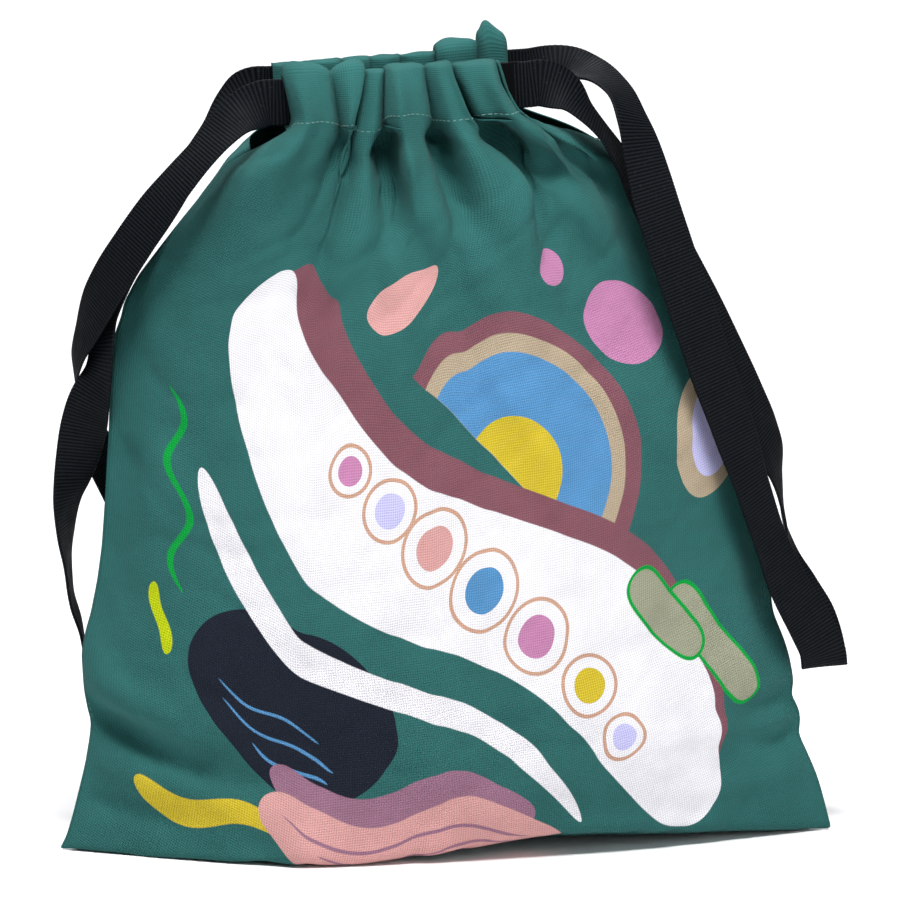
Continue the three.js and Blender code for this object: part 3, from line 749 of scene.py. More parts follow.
def webbing_mesh(name, line, wide, thick, run, material):
    """Flat ribbed webbing along a line."""
    settings = bpy.context.scene.bag_webbing
    half, depth = settings.width / 2, settings.thickness / 2
    across = np.array([-1, -0.985, -0.95, -0.89, -0.8, -0.45, 0, 0.45, 0.8, 0.89, 0.95, 0.985, 1])
    # Thickness over the width: rounded edge, a firm selvedge, then the ribbed middle
    body = np.array([0.25, 0.75, 0.98, 0.92, 0.86, 0.86, 0.86, 0.86, 0.86, 0.92, 0.98, 0.75, 0.25])
    rib = np.array([0, 0, 0.04, 0.2, 0.4, 0.4, 0.4, 0.4, 0.4, 0.2, 0.04, 0, 0])
    wave = np.sin(np.pi * run / settings.rib) ** 2
    verts, uvs = [], []
    for i in range(len(line)):
        scallop = half * (1 - 0.012 * (1 - wave[i]))
        for face in (1, -1):
            order = range(len(across)) if face > 0 else range(len(across) - 1, -1, -1)
            for j in order:
                # Each face of the webbing has its own strip of the layout
                t = depth * (body[j] + rib[j] * (wave[i] - 0.3))
                verts.append(line[i] + wide[i] * across[j] * scallop + thick[i] * t * face)
                uvs.append((run[i], across[j] * half + 0.05 * face + 0.1))
    n, m = 2 * len(across), len(across)
    faces = []
    for i in range(len(line) - 1):
        for j in range(n):
            k = (j + 1) % n
            faces.append((i * n + j, i * n + k, (i + 1) * n + k, (i + 1) * n + j))
    for i, turned in ((0, False), (len(line) - 1, True)):
        for j in range(m - 1):
            a, b = i * n + j, i * n + j + 1
            c, d = i * n + n - 2 - j, i * n + n - 1 - j
            faces.append((a, b, c, d) if turned else (d, c, b, a))
    piece = mesh_object(name, verts, faces, material)
    layer = piece.data.uv_layers.new(name="Webbing")
    for loop in piece.data.loops:
        layer.data[loop.index].uv = uvs[loop.vertex_index]
    return piece


def fold_height(points, folds):
    """Height of the laid folds at points (x, z): a soft hump across each fold's line."""
    total = np.zeros(len(points))
    for line, high0, high1, wide0, wide1 in folds:
        line = np.array(line, float) * MM
        spans = np.linalg.norm(np.diff(line, axis=0), axis=1)
        run = np.concatenate([[0], np.cumsum(spans)])
        best = np.full(len(points), 1e9)
        place = np.zeros(len(points))
        for k in range(len(line) - 1):
            a, b = line[k], line[k + 1]
            t = np.clip(((points - a) @ (b - a)) / ((b - a) @ (b - a)), 0, 1)
            d = np.linalg.norm(points - (a + t[:, None] * (b - a)), axis=1)
            near = d < best
            best[near] = d[near]
            place[near] = ((run[k] + t * spans[k]) / run[-1])[near]
        high = high0 + (high1 - high0) * place
        wide = (wide0 + (wide1 - wide0) * place) * MM
        total += high * MM * np.exp(-(best / wide) ** 2)
    return total


def wrinkle(x, z, side):
    """Height of the small wrinkles of handled cloth at a place on the flat panel."""
    broad = noise.noise(Vector((x / 0.052, z / 0.070, side * 3.1)))
    lean = noise.noise(Vector(((x * 0.8 + z * 0.6) / 0.060, (z * 0.8 - x * 0.6) / 0.022,
                               side * 7.7)))
    crease = max(0.0, 1 - abs(lean) / 0.16) ** 2
    small = noise.noise(Vector((x / 0.015, z / 0.021, side * 1.7)))
    return 0.0020 * broad - 0.0015 * crease + 0.0006 * small


def blurred(values, sigma):
    reach = int(3 * sigma) + 1
    window = np.exp(-0.5 * (np.arange(-reach, reach + 1) / sigma) ** 2)
    padded = np.pad(values, reach, mode="reflect")
    return np.convolve(padded, window / window.sum(), mode="valid")


class Panel:
    """One panel of cloth on its grid: columns across, rows up from the bottom seam."""

    def __init__(self, side, columns, rows, casing_rows):
        self.side = side
        self.columns, self.rows, self.casing_rows = columns, rows, casing_rows
        creases, shares, lobes, tops, leans, stitch = (
            (FRONT_CREASES, FRONT_SHARES, FRONT_LOBES, FRONT_TOPS, FRONT_LEANS, FRONT_STITCH)
            if side < 0 else
            (BACK_CREASES, BACK_SHARES, BACK_LOBES, BACK_TOPS, BACK_LEANS, BACK_STITCH))
        self.left, self.right = (np.array(e, float) * MM for e in (LEFT_EDGE, RIGHT_EDGE))
        # The casing's own two ends, from the top down
        ends = [[(NECK_X - NECK_HALF - 0.006, 0.345), (NECK_X - NECK_HALF, 0.3175),
                 (NECK_X - NECK_HALF, CASING_LOW)],
                [(NECK_X + (FRONT_END if side < 0 else BACK_END), 0.348),
                 (NECK_X + NECK_HALF, 0.3155)]]
        self.lines = []
        for k, share in enumerate(shares):
            if 0 < k < len(shares) - 1:
                line = [(x * MM, z * MM) for x, z in creases[k - 1]]
            else:
                edge = self.left if k == 0 else self.right
                line = ends[0 if k == 0 else 1] + [
                    (x, z) for z, x in edge[::-1] if GATHER_LOW < z < 0.312]
            low, high = (np.interp(GATHER_LOW, e[:, 0], e[:, 1]) for e in (self.left, self.right))
            line.append((low + (high - low) * share, GATHER_LOW))
            self.lines.append(np.array(line[::-1]))
        self.lobes, self.leans = lobes, leans
        self.base = FRONT_BASE if side < 0 else BACK_BASE
        self.folds = FRONT_FOLDS if side < 0 else BACK_FOLDS
        place = np.arange(columns + 1) / columns
        self.lobe = np.clip(np.searchsorted(shares, place, side="right") - 1, 0, len(lobes) - 1)
        first, last = np.array(shares)[self.lobe], np.array(shares)[self.lobe + 1]
        self.part = (place - first) / (last - first)
        self.crest = np.sin(np.pi * self.part)
        # The notches between the lobes are shallow in the roll at the back's right end
        notch = np.where((side > 0) & (place > ROLL_START), 0.30, 1.0)
        if side < 0:
            top = np.array(tops)[self.lobe]
        else:
            top = np.interp(place, *np.array(tops).T)
        self.top = top * MM * (1 - notch * (1 - self.crest))
        rise = (np.array(stitch)[self.lobe] - CREASE_STITCH) * self.crest ** 0.7
        self.low = (CREASE_STITCH + rise) * MM
        self.out = np.array([self.lobe_out(i, 0.320) for i in range(columns + 1)])

    def place(self, i, z):
        """Where column i runs at height z, between the creases on its two sides."""
        k, t = self.lobe[i], self.part[i]
        # Columns crowd towards the creases in the casing and spread out below it
        pinched = (1 - math.cos(math.pi * t)) / 2 + self.leans[k] * self.crest[i] ** 2
        even = smooth(0.300, GATHER_LOW, z)
        share = pinched * (1 - even) + t * even
        a, b = (np.interp(z, line[:, 1], line[:, 0]) for line in self.lines[k:k + 2])
        return a + (b - a) * share

    def lobe_out(self, i, z):
        """How far column i stands out at height z."""
        casing, below, lower, low = self.lobes[self.lobe[i]]
        high = np.interp(z, np.array(LOBE_LEVELS) * MM, (0, low, lower, below, below, casing))
        power = np.interp(z, (GATHER_LOW, 0.280, 0.300, 0.318), (1.6, 1.35, 1.15, 1.05))
        ripple = 1 + 0.14 * math.sin(2 * math.pi * (2.5 * self.part[i] + 0.37 * self.lobe[i]))
        return high * MM * self.crest[i] ** power * ripple

    def casing_point(self, i, share):
        """Outer layer of the casing, share 0 at the stitching and 1 below the top fold."""
        low = self.low[i]
        high = TOP_CLEAR + 0.30 * self.top[i]
        # The lobes lean back towards the top fold
        puff = 1.16 - 0.30 * share - 0.36 * share ** 3
        h = low + (high - low) * share
        x = self.place(i, NECK_Z + h + 0.02 * math.sin(NECK_TILT))
        for _ in range(2):
            x = self.place(i, NECK_Z + h + (x - NECK_X) * math.sin(NECK_TILT))
        s = (x - NECK_X + h * math.sin(NECK_TILT)) / math.cos(NECK_TILT)
        return neck_point(s, self.side * (CASING_OUT + self.out[i] * puff), h)

    def column(self, i):
        """Points of one column from the bottom seam to the casing's stitching."""
        u = -1 + 2 * i / self.columns
        base = np.array(self.base, float) * MM
        left, right = self.left.copy(), self.right.copy()
        for edge_line in (left, right):
            edge_line[:, 0] -= tilt_lift(edge_line[:, 1], edge_line[:, 0])
        x0 = -HALF_BASE + 2 * HALF_BASE * (u + 1) / 2
        out, lift = (np.interp(x0, base[:, 0], base[:, k]) for k in (1, 2))
        depth = np.array(DEPTH, float)
        z = np.linspace(*BODY_SPAN, 150)
        xl = np.interp(z, left[:, 0], left[:, 1])
        xr = np.interp(z, right[:, 0], right[:, 1])
        d, m, q = (np.interp(z, depth[:, 0] * MM, depth[:, k]) for k in (1, 2, 3))
        x = (xl + xr) / 2 + (xr - xl) / 2 * u
        # The grain runs straight up the body and follows the creases below the neck
        lifted = z + tilt_lift(x, z)
        follow = smooth(*GRAIN_TURN, lifted)
        for _ in range(2):
            x = x * (1 - follow) + self.place(i, lifted) * follow
            lifted = z + tilt_lift(x, z)
        across = np.clip((x - (xl + xr) / 2) / ((xr - xl) / 2), -1, 1)
        shape = np.maximum(0, 1 - np.abs(across) ** m) ** q
        y = d * MM * shape
        near_floor = smooth(lift + FLOOR_EASE, lift, z)
        y = y * (1 - near_floor) + out * near_floor
        # The sides part at the slit below each mouth
        slit = SLIT_LOW[0 if u < 0 else 1]
        opened = smooth(slit + 0.004, CASING_LOW, z) * abs(u) ** 6
        y = np.maximum(y, CASING_OUT * opened)
        # Towards the casings the section narrows to their distance, less at the closed seams
        neck = smooth(NECK_START, CASING_LOW, z)
        full = np.maximum(1 - abs(u) ** 30 * (1 - opened), 0)
        y = y * (1 - neck * 0.9) + CASING_OUT * neck * 0.9 * full + self.lobe_out(i, lifted)
        edge = 1 - abs(u) ** 24
        y = y + fold_height(np.column_stack([x, lifted]), self.folds) * edge
        keep = z > lift + 0.002
        body = np.column_stack([x, self.side * y, lifted])[keep]
        foot = [(x0, self.side * out * outward, FOOT_HEIGHT + lift * upward)
                for outward, upward in ((0.0, 0.0), (0.5, 0.4), (0.94, 1.0))]
        return np.vstack([foot, body, self.casing_point(i, 0.0)[None]])

    def grid(self):
        """Points of all columns. The lobes' extra length is taken up above the body."""
        lines = [self.column(i) for i in range(self.columns + 1)]
        runs = [run_along(line) for line in lines]
        lengths = np.array([run[-1] for run in runs])
        evened = blurred(lengths, self.columns / 9)
        share = np.arange(self.rows + 1) / self.rows
        gathered, out = 0.58, []
        for line, run, length, steady in zip(lines, runs, lengths, evened):
            place = np.interp(share, (0, gathered, 1), (0, gathered * steady, length))
            out.append(points_at(line, run, place))
        return out


# How firmly rows and edges of the cloth are held while it settles, at the most
FLOOR_HOLD, EDGE_HOLD, STITCH_HOLD, CASING_HOLD, TOP_HOLD = 0.5, 0.35, 0.3, 0.6, 0.75
# Rows over which the hold fades, above the floor and below the stitching
FLOOR_ROWS, STITCH_ROWS = 14, 4
# Half the gap between the two flat panels, the least height above the floor, and how far a
# point may move as it settles
FLAT_GAP, FLOOR_GAP, SETTLE_MOST = 0.0004, 0.0004, 0.018


def simulate(points, flat, hold, faces, settings):
    """Runs the cloth simulation from the laid-out points towards the flat cut."""
    body = mesh_object("settling_cloth", points, faces)
    body.shape_key_add(name="Laid out")
    rest = body.shape_key_add(name="Cut flat")
    rest.data.foreach_set("co", np.array(flat).ravel())
    group = body.vertex_groups.new(name="hold")
    for k, weight in enumerate(hold):
        group.add([k], float(weight), "REPLACE")
    cloth = body.modifiers.new("Cloth", "CLOTH")
    c = cloth.settings
    c.quality, c.mass, c.air_damping = 6, 0.02, 2.0
    c.tension_stiffness, c.compression_stiffness, c.shear_stiffness = 15, 8, 3
    c.bending_stiffness = 0.12
    c.tension_damping = c.compression_damping = c.shear_damping = 8
    c.bending_damping = 0.8
    c.vertex_group_mass = "hold"
    c.pin_stiffness = 1.0
    c.rest_shape_key = rest
    c.use_pressure = True
    c.uniform_pressure_force = settings.pressure
    c.effector_weights.gravity = 0.3
    cloth.collision_settings.use_collision = False
    cloth.point_cache.frame_start, cloth.point_cache.frame_end = 1, settings.steps
    scene = bpy.context.scene
    scene.frame_start, scene.frame_end = 1, settings.steps
    for frame_number in range(1, settings.steps + 1):
        scene.frame_set(frame_number)
    done = body.evaluated_get(bpy.context.evaluated_depsgraph_get())
    found = np.empty(len(points) * 3)
    done.data.vertices.foreach_get("co", found)
    found = found.reshape(-1, 3)
    if not np.isfinite(found).all():
        raise RuntimeError("the cloth didn't settle")
    move = found - points
    far = np.maximum(np.linalg.norm(move, axis=1), 1e-9)
    mesh = body.data
    bpy.data.objects.remove(body)
    bpy.data.meshes.remove(mesh)
    scene.frame_set(1)
    return points + move * np.minimum(1.0, SETTLE_MOST / far)[:, None]


def settle(panels, settings):
    """Lets the laid-out cloth of both panels settle over the filling. Returns its points."""
    n, rows, casing_rows = settings.columns, settings.rows, panels[0].casing_rows
    joined = {0: rows - LEFT_SLIT, n: rows - RIGHT_SLIT}
    points, flat, hold, index = [], [], [], {}

    def add(key, point, rest, weight):
        if key not in index:
            index[key] = len(points)
            points.append(point)
            flat.append(rest)
            hold.append(weight)

    for panel in panels:
        side = panel.side
        for i, line in enumerate(panel.grid()):
            u = abs(-1 + 2 * i / n)
            across = (i / n - 0.5) * settings.flat_width
            for j in range(rows + 1):
                shared = j == 0 or (i in joined and j <= joined[i])
                weight = max(settings.hold, EDGE_HOLD * u ** 30,
                             FLOOR_HOLD * (1 - j / FLOOR_ROWS),
                             STITCH_HOLD * (j - rows + STITCH_ROWS) / STITCH_ROWS)
                add((i, j, 0 if shared else side), line[j],
                    (across, 0.0 if shared else side * FLAT_GAP, j / rows * settings.flat_height),
                    weight if j < rows else CASING_HOLD)
            for k in range(1, casing_rows + 1):
                add((i, rows + k, side), panel.casing_point(i, k / casing_rows),
                    (across, side * FLAT_GAP, settings.flat_height
                     + settings.casing * k / casing_rows),
                    CASING_HOLD if k < casing_rows else TOP_HOLD)

    def at(i, j, side):
        return index.get((i, j, side), index.get((i, j, 0)))

    faces = []
    for side in (-1, 1):
        for i in range(n):
            for j in range(rows + casing_rows):
                quad = [at(i, j, side), at(i + 1, j, side), at(i + 1, j + 1, side),
                        at(i, j + 1, side)]
                if side > 0:
                    quad.reverse()
                unique = list(dict.fromkeys(quad))
                if len(unique) > 2:
                    faces.append(unique)
    points = np.array(points)
    points = simulate(points, flat, hold, faces, settings)
    points[:, 2] = np.maximum(points[:, 2], FLOOR_GAP)
    return points, at


# How deep the webbing's middle sinks below the cloth, how far out it still presses, where that
# fades across its width, and how far it may push
SINK, PRESS_REACH, PRESS_FADE, PRESS_MOST = 0.0016, 0.012, (0.0104, 0.0130), 0.012
SEARCH_REACH, EDGE_ON = 0.018, 0.35


def press_under(grid, normals, loops):
    """Presses a grid of cloth in where the webbing lies on it."""
    push = np.zeros(grid.shape[:2])
    for line, wide, thick, _ in loops:
        tree = KDTree(len(line))
        for i, p in enumerate(line):
            tree.insert(p, i)
        tree.balance()
        for place in np.ndindex(push.shape):
            p, normal = grid[place], normals[place]
            _, i, distance = tree.find(p)
            if distance > SEARCH_REACH:
                continue
            away = p - line[i]
            across = abs(away @ wide[i])
            facing = thick[i] @ normal
            out = thick[i] if facing > 0 else -thick[i]
            height = away @ out
            # A strand that stands edge-on to the cloth doesn't press it
            if (across > PRESS_FADE[1] or abs(facing) < EDGE_ON
                    or not -SINK < height < PRESS_REACH):
                continue
            depth = min(PRESS_MOST, (height + SINK) / abs(facing))
            push[place] = max(push[place], depth * (1 - smooth(*PRESS_FADE, across)))
    # The pressed place has a soft rim
    soft = push
    for _ in range(2):
        wide_push = np.pad(soft, 1, mode="edge")
        soft = (wide_push[:-2, 1:-1] + wide_push[2:, 1:-1] + wide_push[1:-1, :-2]
                + wide_push[1:-1, 2:] + 2 * soft) / 6
    return grid - normals * np.maximum(push, soft)[:, :, None]


def cloth_normals(grid, side):
    """Outward directions of a grid of cloth."""
    normal = np.cross(np.gradient(grid, axis=0), np.gradient(grid, axis=1)) * -side
    return normal / np.maximum(np.linalg.norm(normal, axis=2), 1e-9)[:, :, None]


# Wrinkles fade in above the bottom seam over some rows, and are weaker from below the stitching
WRINKLE_ROWS, WRINKLE_TOP, WRINKLE_WEAK = 8, 3, 0.35
# Share of the laid folds that is pressed in again, and how much less of it near the neck
AGAIN, AGAIN_LESS, AGAIN_NECK = 0.6, 0.22, (0.250, 0.290)
# The cloth inside the casing: how far from the seam plane it hangs, how much of a lobe it gives
# up, and how far below the webbing's middle its edge runs and is sewn
HEM_OUT, HEM_PULL, HEM_LOW, HEM_SEWN = 0.0166, 0.35, -0.0108, -0.0122
# Rise of the top fold over a crease, its share of a lobe's height, and how uneven it is
FOLD_RISE, FOLD_SHARE, FOLD_STRAY = 0.0010, 0.70, 0.35


def shape_cloth(panel, grid, settings, loops):
    """Gives settled cloth its wrinkles and folds and presses it in under the webbing."""
    n, rows, side = settings.columns, settings.rows, panel.side
    normal = cloth_normals(grid, side)
    for i in range(n + 1):
        edge = 1 - abs(-1 + 2 * i / n) ** 12
        for j in range(grid.shape[1]):
            x, z = i / n * settings.flat_width, j / rows * settings.flat_height
            ease = edge * (smooth(0, WRINKLE_ROWS, j) if j < rows - WRINKLE_TOP else WRINKLE_WEAK)
            grid[i, j] += normal[i, j] * wrinkle(x, z, side) * ease
    # The laid folds, softened by the settling, are pressed in again
    edge = 1 - np.abs(np.linspace(-1, 1, n + 1)) ** 30
    for j in range(4, rows - 2):
        height = fold_height(grid[:, j][:, (0, 2)], panel.folds)
        again = AGAIN - AGAIN_LESS * smooth(*AGAIN_NECK, grid[:, j, 2])
        grid[:, j] += normal[:, j] * (again * height * edge)[:, None]
    # Keep the casing clear of the webbing that runs in it
    casing = neck_place(grid[:, rows:])
    casing[..., 1] = side * np.maximum(side * casing[..., 1], CASING_CLEAR)
    casing[:, -1, 2] = np.maximum(casing[:, -1, 2], TOP_CLEAR)
    for place in np.ndindex(casing.shape[:2]):
        grid[place[0], rows + place[1]] = neck_point(*casing[place])
    # Both panels press in alike along their shared seams
    normal[0], normal[n] = (-1.0, 0.0, 0.0), (1.0, 0.0, 0.0)
    grid[:, :rows - 1] = press_under(grid[:, :rows - 1], normal[:, :rows - 1], loops)
    return grid, casing


def hem_points(panel, i, casing):
    """Column i over the casing's top fold and down the hem inside it to the stitching."""
    fold_rows, hem_rows = 5, 6
    side = panel.side
    top_s, out_y, low = casing[-1]
    out_y = abs(out_y)
    in_y = HEM_OUT - HEM_PULL * panel.out[i]
    rise = FOLD_RISE + FOLD_SHARE * panel.top[i]
    stray = noise.noise(Vector((i * 0.31, side * 2.3, 0.7)))
    rise *= 1 + FOLD_STRAY * stray
    points = []
    for k in range(1, fold_rows + 1):
        a = math.pi * k / (fold_rows + 1)
        y = (out_y + in_y) / 2 + (out_y - in_y) / 2 * math.cos(a) + 0.002 * stray * math.sin(a)
        points.append(neck_point(top_s, side * y, low + rise * math.sin(a)))
    for k in range(hem_rows + 1):
        points.append(neck_point(top_s, side * in_y, low + (HEM_LOW - low) * k / hem_rows))
    points.append(neck_point(casing[0, 0], abs(casing[0, 1]) * side * 0.97, HEM_SEWN))
    return points


def panel_mesh(panel, points, at, settings, loops, name, material):
    """The panel's final mesh: body, casing, top fold and the hem inside the casing."""
    n, rows, casing_rows = settings.columns, settings.rows, panel.casing_rows
    outer = rows + casing_rows
    grid = np.array([[points[at(i, j, panel.side)] for j in range(outer + 1)]
                     for i in range(n + 1)])
    grid, casing = shape_cloth(panel, grid, settings, loops)
    lines = np.array([list(grid[i]) + hem_points(panel, i, casing[i]) for i in range(n + 1)])
    height = lines.shape[1]
    # Heights of the rows on the flat cloth
    spans = [settings.flat_height / rows] * rows + [settings.casing / casing_rows] * casing_rows
    v = np.concatenate([[0], np.cumsum(spans)])
    extra = np.linalg.norm(np.diff(lines[:, outer:], axis=1), axis=2).mean(axis=0)
    v = np.concatenate([v, v[-1] + np.cumsum(extra)])
    faces, uvs = [], []
    for i in range(n):
        for j in range(height - 1):
            quad = [(i, j), (i + 1, j), (i + 1, j + 1), (i, j + 1)]
            if panel.side > 0:
                quad.reverse()
            faces.append([a * height + b for a, b in quad])
            uvs += [(a / n * settings.flat_width, v[b]) for a, b in quad]
    piece = mesh_object(name, lines.reshape(-1, 3), faces, material)
    layer = piece.data.uv_layers.new(name="Cloth")
    for loop, uv in zip(piece.data.loops, uvs):
        layer.data[loop.index].uv = uv
    fine = piece.modifiers.new("Smooth", "SUBSURF")
    fine.levels = fine.render_levels = 1
    thick = piece.modifiers.new("Thickness", "SOLIDIFY")
    thick.thickness, thick.offset = settings.thickness, -1.0
    return piece, lines, float(v[-1])


# What later operators take from earlier ones: the loops' frames and the panels' grids
STATE = {}


FLOOR_REACH, AMBIENT = 9.0, 0.14
# Area lights: name, place, what it is aimed at, size in metres and power in watts
LIGHTS = [
    ("Key", (-0.05, -0.72, 1.65), (0, 0, 0.2), 0.45, 34.0),
    ("Fill", (1.0, -1.4, 0.6), (0, 0, 0.15), 0.9, 9.0),
    ("Top", (-0.6, -0.1, 1.5), (0, 0, 0.25), 0.6, 9.0),
    ("Backdrop", (0.0, 2.3, 2.6), (0, 2.4, 0.0), 2.2, 90.0),
]


class BAG_OT_stage(bpy.types.Operator):
    """Camera, pale floor and soft studio light"""

    bl_idname = "bag.make_stage"
    bl_label = "Make the stage"

    def execute(self, context):
        s = context.scene.bag_studio
        target = Vector(s.target)
        away = Vector((math.sin(s.azimuth) * math.cos(s.elevation),
                       -math.cos(s.azimuth) * math.cos(s.elevation), math.sin(s.elevation)))
        data = bpy.data.cameras.new("Camera")
        camera = bpy.data.objects.new("Camera", data)
        context.scene.collection.objects.link(camera)
        camera.location = target + away * s.distance
        camera.rotation_euler = (-away).to_track_quat("-Z", "Y").to_euler()
        data.sensor_width = 36.0
        data.lens = data.sensor_width * s.distance / s.frame_width
        context.scene.camera = camera

        verts = [(x * FLOOR_REACH, y * FLOOR_REACH, 0)
                 for x, y in ((-1, -1), (1, -1), (1, 1), (-1, 1))]
        material, m, shader = principled("Studio floor")
        grain = m.noise(m.node("ShaderNodeTexCoord").outputs["Object"], 6.0)
        floor = rgba(s.floor)
        m.put(shader.inputs["Base Color"], m.mix(grain, floor, rgba(floor, 0.985)))
        shader.inputs["Roughness"].default_value = 0.9
        mesh_object("studio_floor", verts, [(0, 1, 2, 3)], material)

        world = bpy.data.worlds.new("Studio")
        world.use_nodes = True
        background = world.node_tree.nodes["Background"].inputs
        background["Color"].default_value = (1, 1, 1, 1)
        background["Strength"].default_value = AMBIENT
        context.scene.world = world
        context.scene.view_settings.view_transform = "Standard"
        for name, place, aim, size, power in LIGHTS:
            data = bpy.data.lights.new(name, "AREA")
            data.energy, data.size = power, size
            light = bpy.data.objects.new(name, data)
            context.scene.collection.objects.link(light)
            light.location = place
            light.rotation_euler = (Vector(aim) - light.location).to_track_quat(
                "-Z", "Y").to_euler()
        return {"FINISHED"}


class BAG_OT_loops(bpy.types.Operator):
    """The two loops of webbing that hang from the mouths of the casings"""

    bl_idname = "bag.make_loops"
    bl_label = "Make the webbing loops"

    def execute(self, context):
        material = webbing_material()
        for label, side, route, lane in (("left", -1, LEFT_ROUTE, OUTER_LANE),
                                         ("right", 1, RIGHT_ROUTE, INNER_LANE)):
            line, wide, thick, run = loop_frames(side, route, lane)
            piece = webbing_mesh(f"{label}_webbing_loop", line, wide, thick, run, material)
            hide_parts(f"{label}_loop")
            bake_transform(piece)
            STATE[label] = (line, wide, thick, run)
        return {"FINISHED"}


class BAG_OT_strands(bpy.types.Operator):
    """The webbing inside the casings gets its ribbed finish"""

    bl_idname = "bag.finish_strands"
    bl_label = "Finish the strands"

    def execute(self, context):
        material = webbing_material()
        for name in ("left_front_strand", "left_back_strand", "right_front_strand",
                     "right_back_strand"):
            node = bpy.data.objects[name]
            node.data.materials.clear()
            node.data.materials.append(material)
        return {"FINISHED"}


class BAG_OT_panels(bpy.types.Operator):
    """Front and back panel of cloth with their casings"""

    bl_idname = "bag.make_panels"
    bl_label = "Make the panels"

    def execute(self, context):
        s = context.scene.bag_cloth
        panels = [Panel(side, s.columns, s.rows, 7) for side in (-1, 1)]
        points, at = settle(panels, s)
        loops = [STATE["left"], STATE["right"]]
        for panel, name, node, material in (
                (panels[0], "front_cloth", "front_panel", cloth_material("Printed cloth", True)),
                (panels[1], "back_cloth", "back_panel", cloth_material("Plain cloth", False))):
            piece, lines, length = panel_mesh(panel, points, at, s, loops, name, material)
            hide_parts(node)
            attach(piece, "bag")
            STATE[name] = (panel, lines)
        return {"FINISHED"}


def limit_points(lines):
    """Points of a grid of cloth where the smoothed surface runs."""
    out = lines.copy()
    for axis in (0, 1):
        a = np.moveaxis(out, axis, 0).copy()
        b = a.copy()
        b[1:-1] = (a[:-2] + 4 * a[1:-1] + a[2:]) / 6
        out = np.moveaxis(b, 0, axis)
    return out


def stitch_row(name, line, normals, material, length, width, fill=0.74):
    """A row of stitches along a line on the cloth, each dipping into it at its ends."""
    run = run_along(line)
    count = max(1, int(run[-1] / length))
    verts, faces = [], []
    rings, sides, near = 6, 6, 0.0004

    def at(table, place):
        return points_at(table, run, place)[0]

    for k in range(count):
        first = len(verts)
        middle = (k + 0.5) * length
        for r in range(rings + 1):
            t = -1 + 2 * r / rings
            place = middle + t * length * fill / 2
            p, up = at(line, place), unit(at(normals, place))
            along = unit(at(line, min(place + near, run[-1])) - at(line, max(place - near, 0)))
            across = unit(np.cross(along, up))
            p = p + up * width * (0.42 * (1 - abs(t) ** 3) - 0.22)
            thin = width / 2 * max(0.35, (1 - abs(t) ** 4)) ** 0.5
            for q in range(sides):
                a = 2 * math.pi * q / sides
                verts.append(p + (across * math.cos(a) + up * math.sin(a)) * thin)
        for r in range(rings):
            for q in range(sides):
                w = (q + 1) % sides
                a, b = first + r * sides, first + (r + 1) * sides
                faces.append((a + q, a + w, b + w, b + q))
        faces.append([first + q for q in reversed(range(sides))])
        faces.append([first + rings * sides + q for q in range(sides)])
    return mesh_object(name, verts, faces, material)


# Bar tacks: rows of stitches, half their width and the length of a stitch. How far inside the
# cloth the seams are sewn
TACK_ROWS, TACK_HALF, TACK_STITCH, SEAM_INSIDE = 9, 0.0028, 0.0022, 0.0011


def sew(name, node, line, normals, stitch, **finish):
    """Sews a row of stitches that stands for a thread of the part."""
    piece = stitch_row(name, line, normals, thread_material(), stitch,
                       bpy.context.scene.bag_thread.width, **finish)
    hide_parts(node)
    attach(piece, "bag")


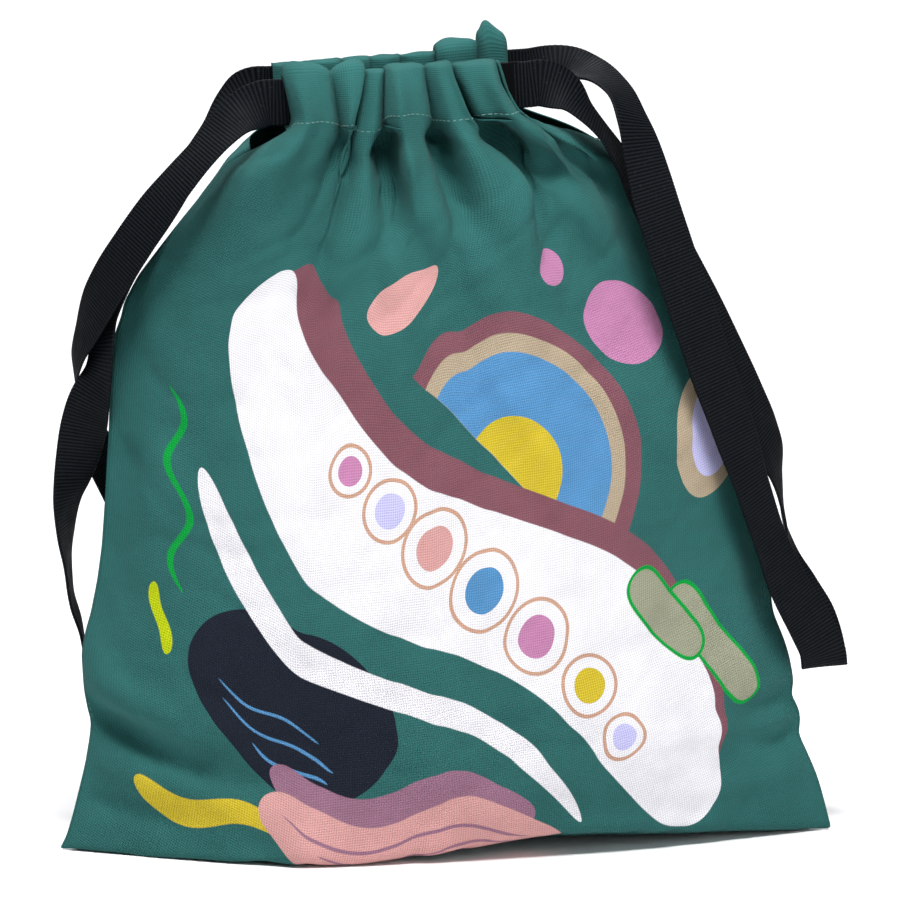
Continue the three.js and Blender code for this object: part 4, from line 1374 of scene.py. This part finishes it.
class BAG_OT_stitches(bpy.types.Operator):
    """Stitching of the casings, of the slits' ends and of the seams"""

    bl_idname = "bag.sew_stitches"
    bl_label = "Sew the stitches"

    def execute(self, context):
        s = context.scene.bag_cloth
        t = context.scene.bag_thread
        for label in ("front", "back"):
            panel, lines = STATE[f"{label}_cloth"]
            smoothed = limit_points(lines)
            normal = cloth_normals(smoothed, panel.side)
            sew(f"{label}_casing_stitches", f"{label}_casing_thread", smoothed[2:-2, s.rows],
                normal[2:-2, s.rows], t.stitch)
        front, back = STATE["front_cloth"][1], STATE["back_cloth"][1]
        # Bar tacks where the slits end: close stitches side by side across the seam
        for label, i, inner, row in (("left", 0, 2, s.rows - LEFT_SLIT),
                                     ("right", s.columns, s.columns - 2, s.rows - RIGHT_SLIT)):
            middle = front[i, row]
            up = unit(middle - (front[inner, row] + back[inner, row]) / 2)
            across = unit(back[inner, row] - front[inner, row])
            along = np.cross(across, up)
            line = []
            for k in range(TACK_ROWS):
                centre = middle + along * ((k - TACK_ROWS // 2) * t.width * 0.9)
                for step in np.linspace(-1, 1, 9) * (1 if k % 2 == 0 else -1):
                    line.append(centre + across * step * TACK_HALF
                                + up * (0.0004 - 0.0013 * step ** 2))
            sew(f"{label}_slit_bartack", f"{label}_slit_tack", np.array(line),
                np.tile(up, (len(line), 1)), TACK_STITCH, fill=1.05)
        # The seams are sewn on the inside of the bag
        front = limit_points(front)
        for label, seam, inward in (
                ("left", front[0, 1:s.rows - LEFT_SLIT], (1, 0, 0)),
                ("right", front[s.columns, 1:s.rows - RIGHT_SLIT], (-1, 0, 0)),
                ("bottom", front[2:-2, 0], (0, 0, 1))):
            inward = np.array(inward, float)
            sew(f"{label}_seam_stitches", f"{label}_seam_thread", seam + inward * SEAM_INSIDE,
                np.tile(inward, (len(seam), 1)), t.stitch)
        return {"FINISHED"}


OPERATORS = (BAG_OT_stage, BAG_OT_loops, BAG_OT_strands, BAG_OT_panels, BAG_OT_stitches)


class BAG_PT_sidebar(bpy.types.Panel):
    """The bag's settings and the buttons that make it, in their order"""

    bl_idname = "BAG_PT_sidebar"
    bl_label = "Drawstring bag"
    bl_space_type = "VIEW_3D"
    bl_region_type = "UI"
    bl_category = "Drawstring bag"

    def draw(self, context):
        for group in SETTINGS:
            settings = getattr(context.scene, group)
            box = self.layout.box()
            for name in settings.__annotations__:
                box.prop(settings, name)
        for operator in OPERATORS:
            self.layout.operator(operator.bl_idname)


SETTINGS = {"bag_studio": StudioSettings, "bag_cloth": ClothSettings,
            "bag_webbing": WebbingSettings, "bag_thread": ThreadSettings}
CLASSES = (*SETTINGS.values(), *OPERATORS, BAG_PT_sidebar)


def register():
    for c in CLASSES:
        bpy.utils.register_class(c)
    for name, group in SETTINGS.items():
        setattr(bpy.types.Scene, name, bpy.props.PointerProperty(type=group))


def unregister():
    for name in SETTINGS:
        delattr(bpy.types.Scene, name)
    for c in reversed(CLASSES):
        bpy.utils.unregister_class(c)


def main():
    register()
    bpy.ops.bag.make_stage()
    bpy.ops.bag.make_loops()
    bpy.ops.bag.finish_strands()
    bpy.ops.bag.make_panels()
    bpy.ops.bag.sew_stitches()


if __name__ == "__main__":
    main()
